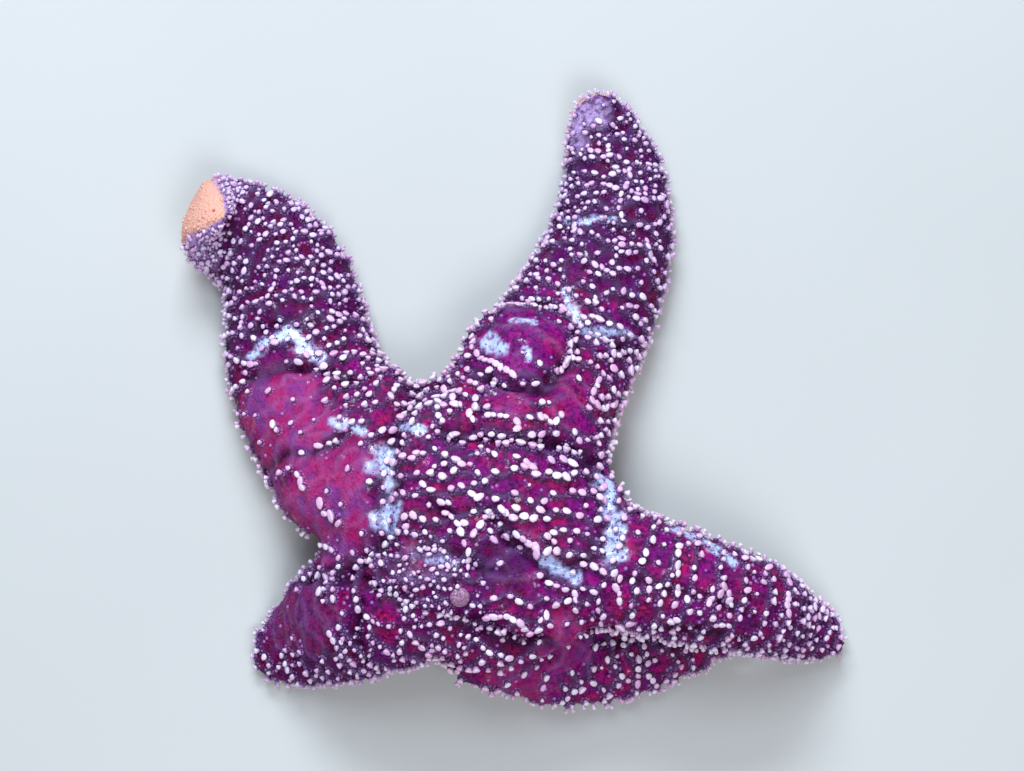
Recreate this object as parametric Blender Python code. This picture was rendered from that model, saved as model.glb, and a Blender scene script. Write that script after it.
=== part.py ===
"""Ochre sea star, life size: a still museum model of one living animal.

The body is humped. The two back arms slope down from the disc and lie along the floor with their
tips turned up, the right arm reaches over the outer half of the front arm, and the two front arms
bend down steeply. The animal is modelled whole, in one skin, and then parted by thin cuts into the
disc and the lengths of each arm.

Metres, +Z up. The floor is z = 0. The mouth is under the disc and +Y points to the back arms.
"""

import math
from collections import namedtuple

import bmesh
import bpy
import numpy as np
from mathutils import Vector
from mathutils.bvhtree import BVHTree

MM = 0.001

# Driving dimensions
ARM_HALF_WIDTH = 27.5 * MM  # at the disc's centre, before the taper
ARM_TAPER = 0.53  # share of the half width lost by the tip
DISC_RADIUS = 37 * MM
DISC_RISE = 17 * MM  # disc above its mid plane
DISC_DROP = 9 * MM  # disc below its mid plane
FLOOR_SINK = 2.0 * MM  # how far the arms that lie on the floor are pressed flat
CUT_GAP = 0.3 * MM

# The furrow under each arm, where the tube feet are
FURROW_HALF_WIDTH = 5.0 * MM
FURROW_DEPTH = 5.0 * MM
FURROW_END = 0.93  # share of the arm's length
FURROW_FADE = 0.1  # share of the arm's length over which it gets shallow
FURROW_CLOSED = 0.75  # share of a curled tip's length over which it is closed
MOUTH_RADIUS = 8 * MM
MOUTH_DEPTH = 7 * MM

# The sieve plate on the disc
SIEVE_RADIUS = 2.7 * MM
SIEVE_THICKNESS = 1.3 * MM
SIEVE_DISTANCE = 21 * MM
SIEVE_BEARING = 243
SIEVE_SIDES = 20

# The arms' shape
BACK_DROP = 0.25  # share of an arm's height that is missing at the disc, which rises there itself
TIP_DROP = 0.3  # share of it that is missing at the tip
UNDERSIDE = 0.5  # depth of the underside below the midline, in half widths
CURL_BEND = 0.75  # share of a curled length that bends, before its straight end
STEEPEST = 0.95  # sine of the steepest slope of a midline that rises or falls to its lifts
SWELLING_RISE = 0.8  # height of a swelling's back, in its radii
SWELLING_DROP = 0.5

# Mesh fineness
VOXEL = 1.5 * MM
SMOOTHING_STEPS = 14
TRIANGLES_KEPT = 6000
SNAP = 0.12 * MM  # what is this close to a cut or to the floor is moved onto it
FINEST = 0.01 * MM  # shorter edges than this are taken out
STEPS_ALONG_ARM = 120
POINTS_ROUND_ARM = 40

LENGTH_NAMES = {2: ("root", "tip"), 3: ("root", "middle", "tip")}

# One arm. bearings are the directions that it takes in plan, in degrees from +X, and lifts are the
# clearances under it in millimetres, both at equal steps along it. girth scales its width, and height
# is its back's height in half widths. cuts are where it is parted, in millimetres from the disc's
# centre. curl is how far its tip turns up, in degrees, over curl_length.
Arm = namedtuple("Arm", "name length girth height bearings lifts cuts curl curl_length")

SUNK = -FLOOR_SINK / MM
ARMS = (
    Arm(
        name="arm_back",
        length=144 * MM,
        girth=0.98,
        height=0.85,
        bearings=(79, 74, 61, 69, 98, 126),
        lifts=(17, 14, 6, SUNK, SUNK, SUNK),
        cuts=(49, 79, 108),
        curl=50,
        curl_length=26 * MM,
    ),
    Arm(
        name="arm_back_left",
        length=158 * MM,
        girth=1.02,
        height=0.85,
        bearings=(151, 146, 125, 96, 158, 150),
        lifts=(17, 15, 6, SUNK, SUNK, SUNK),
        cuts=(49, 78, 106),
        curl=140,
        curl_length=34 * MM,
    ),
    Arm(
        name="arm_front_left",
        length=84 * MM,
        girth=0.93,
        height=0.9,
        bearings=(211, 208, 205, 204, 204, 204),
        lifts=(17, 18, 15, 7, SUNK, SUNK),
        cuts=(55, 69),
        curl=0,
        curl_length=0,
    ),
    Arm(
        name="arm_front",
        length=101 * MM,
        girth=0.76,
        height=0.8,
        bearings=(275, 296, 350, 371, 376, 378),
        lifts=(17, 11, 1, SUNK, SUNK, SUNK),
        cuts=(52, 76),
        curl=0,
        curl_length=0,
    ),
    Arm(
        name="arm_right",
        length=115 * MM,
        girth=0.71,
        height=1.0,
        bearings=(347, 342, 344, 348, 343, 328),
        lifts=(17, 22, 26, 22, 7, SUNK),
        cuts=(49, 82),
        curl=0,
        curl_length=0,
    ),
)

# Swollen places: arm, distance along it, offset to its left, height above its midline, radius
Swelling = namedtuple("Swelling", "arm along left up radius")
SWELLINGS = (
    Swelling("arm_back_left", 46 * MM, 6 * MM, 1 * MM, 22 * MM),
    Swelling("arm_back", 48 * MM, 3 * MM, 2 * MM, 22 * MM),
    Swelling("arm_back", 31 * MM, 19 * MM, -4 * MM, 13 * MM),
    Swelling("arm_front", 24 * MM, -10 * MM, 0 * MM, 15 * MM),
)

Midline = namedtuple("Midline", "along points forward upward leftward")


def half_width(arm, share):
    """Half the width of an arm at a share of its length, with a blunt rounded end."""
    taper = 1 - ARM_TAPER * share**1.25
    rounding = math.sqrt(max(0.0, 1 - share**9))
    return arm.girth * ARM_HALF_WIDTH * taper * rounding


def rise(arm, share):
    """Height of an arm's back above its midline, less at the disc and at the tip."""
    return half_width(arm, share) * arm.height * (1 - BACK_DROP * (1 - share) ** 2 - TIP_DROP * share**4)


def drop(arm, share):
    """Depth of an arm's underside below its midline."""
    return half_width(arm, share) * UNDERSIDE


def at_equal_steps(values, share):
    """A value between evenly spaced ones, on a smooth curve through them all."""
    place = min(max(share, 0.0), 1.0) * (len(values) - 1)
    before = min(int(place), len(values) - 2)
    blend = place - before
    first, second = values[before], values[before + 1]
    slope_in = (second - values[max(before - 1, 0)]) / 2
    slope_out = (values[min(before + 2, len(values) - 1)] - first) / 2
    change = second - first
    square = 3 * change - 2 * slope_in - slope_out
    cube = slope_in + slope_out - 2 * change
    return first + blend * (slope_in + blend * (square + blend * cube))


def midline(arm):
    """The arm's midline from the disc's centre to its tip, with a frame at each point."""
    straight = arm.length - arm.curl_length
    step = arm.length / STEPS_ALONG_ARM
    alongs, points, forwards, upwards = [], [], [], []
    x = y = 0.0
    pitch = 0.0
    z = at_equal_steps(arm.lifts, 0) * MM + drop(arm, 0)
    for index in range(STEPS_ALONG_ARM + 1):
        along = index * step
        bearing = math.radians(at_equal_steps(arm.bearings, along / arm.length))
        heading = Vector((math.cos(bearing), math.sin(bearing), 0))
        if along < straight:
            ahead = min(along + step, straight)
            climb = at_equal_steps(arm.lifts, ahead / straight) * MM + drop(arm, ahead / arm.length) - z
            pitch = math.asin(max(-STEEPEST, min(STEEPEST, climb / step)))
        else:
            bent = min(1.0, (along - straight) / (CURL_BEND * max(arm.curl_length, step)))
            pitch = math.radians(arm.curl) * bent
        forward = heading * math.cos(pitch) + Vector((0, 0, math.sin(pitch)))
        upward = Vector((0, 0, math.cos(pitch))) - heading * math.sin(pitch)
        alongs.append(along)
        points.append(Vector((x, y, z)))
        forwards.append(forward)
        upwards.append(upward)
        x, y, z = Vector((x, y, z)) + forward * step
    leftwards = [up.cross(ahead) for up, ahead in zip(upwards, forwards)]
    return Midline(alongs, points, forwards, upwards, leftwards)


def section(arm, share):
    """(left, up) offsets of the points round an arm: a domed back and a flat underside."""
    width, top, bottom = half_width(arm, share), rise(arm, share), drop(arm, share)
    ring = []
    for index in range(POINTS_ROUND_ARM):
        angle = 2 * math.pi * index / POINTS_ROUND_ARM
        side, height = math.cos(angle), math.sin(angle)
        if height >= 0:
            ring.append((width * side, top * height**0.93))
        else:
            ring.append((width * math.copysign(abs(side) ** 0.75, side), -bottom * (-height) ** 0.6))
    return ring


def loft(mesh, rings):
    """A closed tube through rings of equal size, added to mesh, with flat ends."""
    made = [[mesh.verts.new(point) for point in ring] for ring in rings]
    for before, after in zip(made, made[1:]):
        for index in range(len(before)):
            after_index = (index + 1) % len(before)
            mesh.faces.new((before[index], before[after_index], after[after_index], after[index]))
    mesh.faces.new(made[0][::-1])
    mesh.faces.new(made[-1])


def arm_rings(arm, line, last_share=0.999):
    rings = []
    for along, point, up, left in zip(line.along, line.points, line.upward, line.leftward):
        share = min(along / arm.length, last_share)
        rings.append([point + left * a + up * b for a, b in section(arm, share)])
    return rings


def new_object(name, mesh):
    """An object from a bmesh, in the scene, with its faces pointing out."""
    bmesh.ops.recalc_face_normals(mesh, faces=mesh.faces)
    data = bpy.data.meshes.new(name)
    mesh.to_mesh(data)
    mesh.free()
    made = bpy.data.objects.new(name, data)
    bpy.context.scene.collection.objects.link(made)
    return made


def apply_modifiers(thing):
    """Replaces an object's mesh by the one that its modifiers make."""
    graph = bpy.context.evaluated_depsgraph_get()
    result = bpy.data.meshes.new_from_object(thing.evaluated_get(graph))
    thing.modifiers.clear()
    thing.data = result


def nearest(line, along):
    """Index of the midline's point at a distance from the disc's centre."""
    return min(range(len(line.along)), key=lambda index: abs(line.along[index] - along))


def add_ball(mesh, centre, reach, top, bottom):
    """A closed ball with its own rise and drop."""
    for vert in bmesh.ops.create_icosphere(mesh, subdivisions=4, radius=1)["verts"]:
        height = top if vert.co.z > 0 else bottom
        vert.co = Vector((vert.co.x * reach, vert.co.y * reach, vert.co.z * height)) + centre


def whole_body(lines):
    """The disc, the arms and the swollen places as one closed skin, softened where they join."""
    mesh = bmesh.new()
    for arm in ARMS:
        loft(mesh, arm_rings(arm, lines[arm.name]))
    add_ball(mesh, lines[ARMS[0].name].points[0], DISC_RADIUS, DISC_RISE, DISC_DROP)
    for swelling in SWELLINGS:
        line = lines[swelling.arm]
        at = nearest(line, swelling.along)
        centre = line.points[at] + line.leftward[at] * swelling.left + line.upward[at] * swelling.up
        radius = swelling.radius
        add_ball(mesh, centre, radius, radius * SWELLING_RISE, radius * SWELLING_DROP)
    body = new_object("body", mesh)
    remesh = body.modifiers.new("one skin", "REMESH")
    remesh.mode = "VOXEL"
    remesh.voxel_size = VOXEL
    softening = body.modifiers.new("soft skin", "SMOOTH")
    softening.factor = 0.5
    softening.iterations = SMOOTHING_STEPS
    apply_modifiers(body)
    return body


def bump(distance):
    """1 in the middle and 0 from a distance of 1, with a round top and soft edges."""
    return np.clip(1 - distance**2, 0, 1) ** 1.5


def furrow_end(arm):
    """Where an arm's furrow ends, as a share of its length: near the tip, or where a curl closes it."""
    return min(FURROW_END, 1 - FURROW_CLOSED * arm.curl_length / arm.length)


def press_in_furrows(body, lines):
    """Presses the tube-foot furrow into the underside of each arm, and the mouth into the disc."""
    mesh = body.data
    points = np.array([vert.co for vert in mesh.vertices])
    normals = np.array([vert.normal for vert in mesh.vertices])
    moved = np.zeros_like(points)
    deepest = np.zeros(len(points))
    for arm in ARMS:
        line = lines[arm.name]
        stations = np.array(line.points)
        upward, leftward = np.array(line.upward), np.array(line.leftward)
        gaps = np.linalg.norm(points[:, None, :] - stations[None, :, :], axis=2)
        at = gaps.argmin(axis=1)
        offset = points - stations[at]
        side = np.einsum("ij,ij->i", offset, leftward[at])
        height = np.einsum("ij,ij->i", offset, upward[at])
        facing = np.einsum("ij,ij->i", normals, upward[at])
        share = at / STEPS_ALONG_ARM
        size = np.array([min(1.0, half_width(arm, min(s, 0.98)) / (0.5 * ARM_HALF_WIDTH)) for s in share])
        depth = np.array([drop(arm, s) for s in share])
        ahead = np.einsum("ij,ij->i", offset, np.array(line.forward)[at])
        under = (height < 0) & (height > -depth - FURROW_DEPTH) & (facing < 0) & (abs(ahead) < FURROW_DEPTH)
        ending = np.clip((furrow_end(arm) - share) / FURROW_FADE, 0, 1)
        pressed = np.where(under, bump(side / (FURROW_HALF_WIDTH * size)) * FURROW_DEPTH * size * ending, 0)
        deeper = pressed > deepest
        moved[deeper] = upward[at][deeper] * pressed[deeper, None]
        deepest = np.maximum(deepest, pressed)
    mouth = lines[ARMS[0].name].points[0]
    from_mouth = np.linalg.norm(points[:, :2] - np.array(mouth)[:2], axis=1)
    pressed = np.where(normals[:, 2] < 0, bump(from_mouth / MOUTH_RADIUS) * MOUTH_DEPTH, 0)
    moved[pressed > deepest] = (0, 0, 1)
    moved[pressed > deepest] *= pressed[pressed > deepest, None]
    mesh.vertices.foreach_set("co", (points + moved).ravel())
    mesh.update()


def rest_on_floor(body):
    """Flattens what lies below the floor, which leaves the flats that the animal rests on."""
    for vert in body.data.vertices:
        if vert.co.z < SNAP:
            vert.co.z = 0


def thin_out(body):
    """Fewer, larger faces where the skin is flat."""
    triangles = sum(len(face.vertices) - 2 for face in body.data.polygons)
    thinning = body.modifiers.new("fewer faces", "DECIMATE")
    thinning.ratio = TRIANGLES_KEPT / triangles
    apply_modifiers(body)


def joined_groups(things, neighbours):
    """Parts a list into the groups that hang together, each in the list's own order."""
    left, groups = set(things), []
    for thing in things:
        if thing not in left:
            continue
        group, growing = set(), {thing}
        while growing:
            group |= growing
            growing = {near for each in growing for near in neighbours(each)} & left - group
        left -= group
        groups.append([each for each in things if each in group])
    return groups


def edges_beside(edge):
    return [near for vert in edge.verts for near in vert.link_edges]


def faces_beside(face):
    return [near for edge in face.edges for near in edge.link_faces]


def verts_beside(vert):
    return [edge.other_vert(vert) for edge in vert.link_edges]


def slice_at(mesh, place, facing, faces):
    """Cuts faces along a plane, so that edges lie in it."""
    verts = {vert for face in faces for vert in face.verts}
    edges = {edge for face in faces for edge in face.edges}
    geometry = [vert for vert in mesh.verts if vert in verts]
    geometry += [edge for edge in mesh.edges if edge in edges] + list(faces)
    bmesh.ops.bisect_plane(mesh, geom=geometry, dist=1e-7, plane_co=place, plane_no=facing)


def snap(verts, place, facing, height, within):
    """Moves the vertices that are close to a plane onto it, so that cutting there leaves no slivers."""
    for vert in verts:
        above = (vert.co - place).dot(facing)
        if abs(above - height) < within and vert.co.z > 0:
            vert.co += facing * (height - above)


def band_across(mesh, arm, line, at):
    """The faces that run round an arm at one of its points."""
    place, facing = line.points[at], line.forward[at]
    back = place + line.upward[at] * rise(arm, line.along[at] / arm.length)

    def crosses(face):
        heights = [(vert.co - place).dot(facing) for vert in face.verts]
        return min(heights) < CUT_GAP and max(heights) > -CUT_GAP

    reach = 3 * ARM_HALF_WIDTH
    close = [face for face in mesh.faces if crosses(face) and (face.verts[0].co - place).length < reach]
    top = min(close, key=lambda face: (face.calc_center_median() - back).length)
    return next(band for band in joined_groups(close, faces_beside) if top in band)


def cut_across(mesh, arm, line, along):
    """Parts an arm by a thin flat gap across it."""
    at = nearest(line, along)
    place, facing = line.points[at], line.forward[at]
    band = {vert for face in band_across(mesh, arm, line, at) for vert in face.verts}
    for side in (-CUT_GAP / 2, CUT_GAP / 2):
        beyond = [vert for vert in band if ((vert.co - place).dot(facing) > 0) == (side > 0)]
        snap(beyond, place, facing, side, SNAP)
    for side in (-CUT_GAP / 2, CUT_GAP / 2):
        slice_at(mesh, place + facing * side, facing, band_across(mesh, arm, line, at))
    between = [
        face
        for face in band_across(mesh, arm, line, at)
        if abs((face.calc_center_median() - place).dot(facing)) < CUT_GAP * 0.49
    ]
    bmesh.ops.delete(mesh, geom=between, context="FACES")
    for rim in joined_groups([edge for edge in mesh.edges if edge.is_boundary], edges_beside):
        bmesh.ops.triangle_fill(mesh, use_beauty=True, use_dissolve=False, edges=rim, normal=facing)


def part_into_pieces(body, lines):
    """Parts the body into the disc and the lengths of each arm, each an object of its own."""
    mesh = bmesh.new()
    mesh.from_mesh(body.data)
    bpy.data.objects.remove(body)
    bmesh.ops.dissolve_degenerate(mesh, edges=mesh.edges[:], dist=FINEST)
    places = {"disc": lines[ARMS[0].name].points[0]}
    for arm in ARMS:
        line = lines[arm.name]
        starts = [along * MM for along in arm.cuts]
        for name, start, end in zip(LENGTH_NAMES[len(starts)], starts, starts[1:] + [arm.length]):
            cut_across(mesh, arm, line, start)
            places[f"{arm.name}_{name}"] = line.points[nearest(line, (start + end) / 2)]
    bmesh.ops.triangulate(mesh, faces=mesh.faces[:])
    bmesh.ops.dissolve_degenerate(mesh, edges=mesh.edges[:], dist=FINEST)
    pieces = joined_groups(mesh.verts[:], verts_beside)
    if len(pieces) != len(places):
        raise ValueError(f"the body is in {len(pieces)} pieces, not {len(places)}")
    found = {}
    for name, place in places.items():
        piece = min(pieces, key=lambda verts: min((vert.co - place).length for vert in verts))
        pieces.remove(piece)
        found[name] = copy_of_piece(mesh, piece, name)
    mesh.free()
    return found


def copy_of_piece(mesh, piece, name):
    """A new object with one loose piece of a mesh."""
    made = bmesh.new()
    copied = {vert: made.verts.new(vert.co) for vert in piece}
    for face in mesh.faces:
        if face.verts[0] in copied:
            made.faces.new([copied[vert] for vert in face.verts])
    return new_object(name, made)


def place_on_back(disc, middle, bearing, distance):
    """The point and the outward direction of the disc's back, at a bearing from its centre."""
    direction = Vector((math.cos(math.radians(bearing)), math.sin(math.radians(bearing)), 0))
    above = middle + direction * distance + Vector((0, 0, 100 * MM))
    mesh = bmesh.new()
    mesh.from_mesh(disc.data)
    point, normal = BVHTree.FromBMesh(mesh).ray_cast(above, Vector((0, 0, -1)))[:2]
    mesh.free()
    return point, normal


def turned(outline, steps, name, point, axis):
    """A closed solid of revolution. outline has (radius, height) points from the bottom to the top."""
    side = axis.orthogonal().normalized()
    other = axis.cross(side)
    rings = []
    for radius, height in outline:
        ring = []
        for index in range(steps):
            angle = 2 * math.pi * index / steps
            ring.append(point + (side * math.cos(angle) + other * math.sin(angle)) * radius + axis * height)
        rings.append(ring)
    mesh = bmesh.new()
    loft(mesh, rings)
    bmesh.ops.triangulate(mesh, faces=mesh.faces[:])
    return new_object(name, mesh)


def sieve_plate(disc, lines):
    """The madreporite, a low round plate let into the disc with a thin gap round it."""
    middle = lines[ARMS[0].name].points[0]
    point, axis = place_on_back(disc, middle, SIEVE_BEARING, SIEVE_DISTANCE)
    radius, depth = SIEVE_RADIUS, SIEVE_THICKNESS
    pocket_radius = radius + CUT_GAP
    pocket_outline = [(pocket_radius, -depth - CUT_GAP), (pocket_radius, 3 * depth)]
    pocket = turned(pocket_outline, SIEVE_SIDES, "pocket for the madreporite", point, axis)
    hollow = disc.modifiers.new("pocket", "BOOLEAN")
    hollow.operation = "DIFFERENCE"
    hollow.solver = "EXACT"
    hollow.object = pocket
    apply_modifiers(disc)
    bpy.data.objects.remove(pocket)
    mesh = bmesh.new()
    mesh.from_mesh(disc.data)
    bmesh.ops.remove_doubles(mesh, verts=mesh.verts[:], dist=FINEST)
    bmesh.ops.triangulate(mesh, faces=mesh.faces[:])
    mesh.to_mesh(disc.data)
    mesh.free()
    dome = [(radius, 0.2 * depth), (radius * 0.8, 0.5 * depth), (radius * 0.4, 0.65 * depth)]
    outline = [(radius, -depth), *dome]
    return turned(outline, SIEVE_SIDES, "madreporite", point, axis)


def stand_over_origin(things):
    """Moves the whole animal so that the middle of its footprint is over the origin."""
    points = [vert.co for thing in things for vert in thing.data.vertices]
    low = Vector((min(point[axis] for point in points) for axis in range(3)))
    high = Vector((max(point[axis] for point in points) for axis in range(3)))
    for thing in things:
        for vert in thing.data.vertices:
            vert.co -= Vector(((low.x + high.x) / 2, (low.y + high.y) / 2, low.z))


def skin_finish(name, colour, roughness):
    finish = bpy.data.materials.new(name)
    finish.use_nodes = True
    shader = finish.node_tree.nodes["Principled BSDF"]
    shader.inputs["Base Color"].default_value = (*colour, 1)
    shader.inputs["Roughness"].default_value = roughness
    shader.inputs["Metallic"].default_value = 0
    return finish


def main():
    for thing in list(bpy.data.objects):
        bpy.data.objects.remove(thing)
    lines = {arm.name: midline(arm) for arm in ARMS}
    body = whole_body(lines)
    press_in_furrows(body, lines)
    rest_on_floor(body)
    thin_out(body)
    rest_on_floor(body)
    pieces = part_into_pieces(body, lines)
    pieces["madreporite"] = sieve_plate(pieces["disc"], lines)
    stand_over_origin(pieces.values())
    skin = skin_finish("wet purple skin", (0.30, 0.02, 0.18), 0.3)
    plate = skin_finish("pale sieve plate", (0.75, 0.62, 0.55), 0.5)
    for name, piece in pieces.items():
        piece.data.materials.append(plate if name == "madreporite" else skin)


if __name__ == "__main__":
    main()
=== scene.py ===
"""Looks of the ochre sea star: one wet skin over the parted solids, and what grows on it.

The skin is a copy of the solids with their cuts closed, drawn in by the depth of the spines. A net of
low ridges is raised on it, with the spines standing on the net. Each spine has a wreath of tiny
pincers round its foot. Under the arms are the rows of tube feet in their furrows, and the mouth.

Metres, +Z up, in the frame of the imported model. The floor is z = 0. The tables of places on the skin
are in millimetres in plan, from the disc's middle, and a path is its corners' x, y, x, y and so on.
"""

import math
from collections import namedtuple
from itertools import product

import bmesh
import bpy
import numpy as np
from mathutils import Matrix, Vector, noise
from mathutils.bvhtree import BVHTree
from mathutils.kdtree import KDTree


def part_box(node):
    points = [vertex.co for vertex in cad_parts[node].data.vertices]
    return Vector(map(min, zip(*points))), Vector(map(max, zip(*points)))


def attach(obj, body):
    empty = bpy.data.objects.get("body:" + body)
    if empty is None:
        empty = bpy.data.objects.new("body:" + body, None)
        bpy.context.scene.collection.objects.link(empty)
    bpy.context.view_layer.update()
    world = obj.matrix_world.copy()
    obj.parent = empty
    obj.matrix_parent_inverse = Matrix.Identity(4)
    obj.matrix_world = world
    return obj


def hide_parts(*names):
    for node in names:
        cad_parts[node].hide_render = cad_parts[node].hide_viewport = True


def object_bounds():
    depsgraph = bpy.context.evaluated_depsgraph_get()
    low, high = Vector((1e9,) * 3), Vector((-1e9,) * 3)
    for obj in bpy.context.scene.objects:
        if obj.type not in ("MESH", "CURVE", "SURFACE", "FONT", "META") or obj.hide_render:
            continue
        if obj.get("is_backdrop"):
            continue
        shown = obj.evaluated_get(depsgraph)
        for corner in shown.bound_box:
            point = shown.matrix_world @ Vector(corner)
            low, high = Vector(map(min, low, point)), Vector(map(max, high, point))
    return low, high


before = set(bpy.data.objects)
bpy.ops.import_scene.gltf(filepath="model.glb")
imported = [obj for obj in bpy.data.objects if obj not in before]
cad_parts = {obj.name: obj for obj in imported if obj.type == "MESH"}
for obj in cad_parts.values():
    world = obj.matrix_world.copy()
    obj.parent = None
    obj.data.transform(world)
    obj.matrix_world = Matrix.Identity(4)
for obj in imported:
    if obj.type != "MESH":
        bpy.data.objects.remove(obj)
solids_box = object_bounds()

MM = 0.001
SEED = 7
UP, DOWN = (0, 0, 1), (0, 0, -1)

# --- The pose, as in the solids ---

ARM_HALF_WIDTH = 27.5 * MM  # of a full arm at its root
ARM_TAPER = 0.53  # share of its width that an arm loses on the way to its tip
UNDERSIDE = 0.5  # from a midline down to the underside, in half widths
CURL_BEND = 0.75  # share of a curl in which it bends, the rest being straight
STEEPEST = 0.95  # sine of a midline's steepest slope
STEPS_ALONG_ARM = 120
SIEVE_BEARING = 243  # degrees from +X
SIEVE_DISTANCE = 21 * MM

# bearings are an arm's directions in plan, in degrees from +X, and lifts are the clearances under it
# in millimetres, both at equal steps along it. curl is how far its tip turns up, in degrees. The last two
# are how dark its outer part is, partly its own darker tone and partly painted shade, and about the share
# of its length from which it darkens.
Arm = namedtuple("Arm", "name length girth bearings lifts curl curl_length dusk dusk_from")
FLOOR = -2.0  # the lift of an arm that lies on the floor, pressed flat
ARMS = (
    Arm("arm_back", 144 * MM, 0.98, (79, 74, 61, 69, 98, 126), (17, 14, 6, FLOOR, FLOOR, FLOOR),
        50, 26 * MM, 0.9, 0.42),
    Arm("arm_back_left", 158 * MM, 1.02, (151, 146, 125, 96, 158, 150), (17, 15, 6, FLOOR, FLOOR, FLOOR),
        140, 34 * MM, 0.9, 0.42),
    Arm("arm_front_left", 84 * MM, 0.93, (211, 208, 205, 204, 204, 204), (17, 18, 15, 7, FLOOR, FLOOR),
        0, 0, 0.7, 0.3),
    Arm("arm_front", 101 * MM, 0.76, (275, 296, 350, 371, 376, 378), (17, 11, 1, FLOOR, FLOOR, FLOOR),
        0, 0, 0.2, 0.42),
    Arm("arm_right", 115 * MM, 0.71, (347, 342, 344, 348, 343, 328), (17, 22, 26, 22, 7, FLOOR),
        0, 0, 0.45, 0.42),
)
ROLLED = 90  # degrees of curl past which a tip shows its sole

# --- The skin and the net. Pairs are for the disc and for an arm's tip ---

CUT_CLOSING = 0.3 * MM  # how far the solids are swollen, so that they meet across their cuts
VOXEL = 0.86 * MM
FACET_SMOOTHING = 26
COAT_DEPTH = 1.2 * MM  # from the solids' faces in to the skin
LOWEST_SKIN = 0.9 * MM

ROW_SPACING = (6.9 * MM, 4.4 * MM)
CELL_WIDTH = (6.6 * MM, 4.8 * MM)
CELL_GAP = 0.72 * CELL_WIDTH[1]
NARROWEST = 3 * MM  # half width of an arm below which its meshes shrink with it
DISC_NET_SHARE = 0.8  # the disc's meshes, as a share of the arms'
DISC_NET_RADIUS = 31 * MM
ARM_NET_START = 0.62 * DISC_NET_RADIUS
NET_WANDER = 1.5 * MM
NET_LOOSENESS = 0.4  # how far the meshes stray from their rows, as a share of their size
ROWED_ARM = "arm_right"  # its meshes stay in their rows
LOOSE_WIDTH = 1.3  # how much wider the meshes of the others are
MARGIN_ANGLE = 98  # degrees from an arm's back to its edge
NET_ANGLE = MARGIN_ANGLE + 12  # to where the net goes round
RIDGE_WIDTH = 1.3 * MM
RIDGE_HEIGHT = 1.0 * MM
RIDGE_SHARE_SUNK = 0.3  # share of the ridges' height by which the skin between them is sunk
INLAND = 2.7 * MM  # distance from the ridges to the middle of a wide mesh

# --- Folds and swollen places ---

# path, width, depth. Each fold is also painted darker along its crease, as painted shade
FOLDS = (
    ((-20, 42, -26, 30, -30, 20, -29, 8, -30, -3, -40, -11), 6.0, 3.6),
    ((-12, 26, 0, 25, 12, 24, 24, 21, 32, 17), 4.0, 3.2),
    ((-8, 58, 2, 65.5, 12, 65.5, 20, 62, 26, 56, 36, 52), 3.6, 2.8),
    ((24, 60, 21, 49, 13, 38, 3, 39, -5, 43), 3.4, 2.2),
    ((-2, 4, 4, -4, 12, -10, 20, -12), 3.4, 2.6),
    ((24, 20, 29, 10, 30, 0, 22, -10, 14, -13), 4.0, 1.6),
    ((-14, -24, -4, -27, 6, -32, 13, -31), 4.6, 4.2),
    ((-68, 44, -58, 47, -47, 46, -38, 42), 3.8, 2.2),
    ((-66, 58, -58, 60, -50, 58), 3.0, 1.6),
    ((-63, 18, -57, 22, -50, 21, -42, 26), 3.4, 0.9),
    ((-54, -10, -44, -12, -36, -13, -24, -20), 3.8, 2.4),
    ((-36, -20, -38, -28, -34, -36), 3.0, 1.2),
    ((20, 87, 28, 90, 36, 87), 2.8, 1.4),
    ((34, -14, 50, -17, 66, -22), 2.6, 1.0),
    ((-18, 6, -12, 3, -4, 4), 2.8, 1.4),
    ((-20, -6, -10, -7, -2, -12), 3.0, 1.6),
    ((30, -28, 42, -27, 54, -27.5, 66, -30), 3.2, 1.4),
)
# x, y, radius, lift, how bare of spines, how rosy
TAUT_PLACES = (
    (-59, 34, 14, 0.6, 0.85, 1.0),
    (-50, 25, 13, 0.5, 0.85, 1.0),
    (-46, 9, 14, 1.0, 0.85, 1.0),
    (-44, -2, 9, 0.4, 0.8, 0.9),
    (9, 51, 10.5, 2.4, 0.9, 0.0),
    (4, 34, 6, 0.5, 0.8, 0.3),
    (19, 36, 8, 0.3, 0.9, 0.1),
    (-53, -22, 11, 0.4, 0.85, 0.3),
    (18, -30, 7.5, 1.2, 0.95, 0.5),
    (3, -9, 9, -1.4, 0.6, 0.0),
    (7, -43, 8, 0.6, 0.4, 0.8),
)
# path, width. A wet place gets a glossier coat, and a painted sky highlight in the skin's colour
WET_AND_HIGHLIGHT_PLACES = (
    ((-30, 21, -29, 12, -29, 2), 6.5),
    ((-43, 30, -36, 27), 4.0),
    ((-67, 51, -62, 55, -56, 56, -52, 53), 3.6),
    ((-53, 52, -49, 50), 4.4),
    ((-24, 29, -20, 26), 3.0),
    ((-2, 53, 2, 50), 4.5),
    ((4, 58, 10, 56.5), 2.2),
    ((8, 49, 9, 46), 1.8),
    ((19, 68, 23, 60), 2.4),
    ((25, 57, 37, 57), 2.6),
    ((29, 13, 31, 3, 31, -8), 6.5),
    ((13, -9, 20, -13), 4.0),
    ((31, 15.5, 34, 12, 45, 4.5, 56, -4, 63, -9), 2.6),
    ((44, 5, 47, 0, 52, -2), 1.6),
    ((20, 89, 34, 90), 2.2),
    ((-18, -9, -11, -10), 2.4),
)
# x, y, radius, strength
# the faint third pale place, on the disc, is a painted sky reflection; the others are pale skin
PALE_PLACES = ((20, 116, 6.5, 0.9), (27, 121, 5, 0.7), (-19, -10, 8, 0.2))
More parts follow.
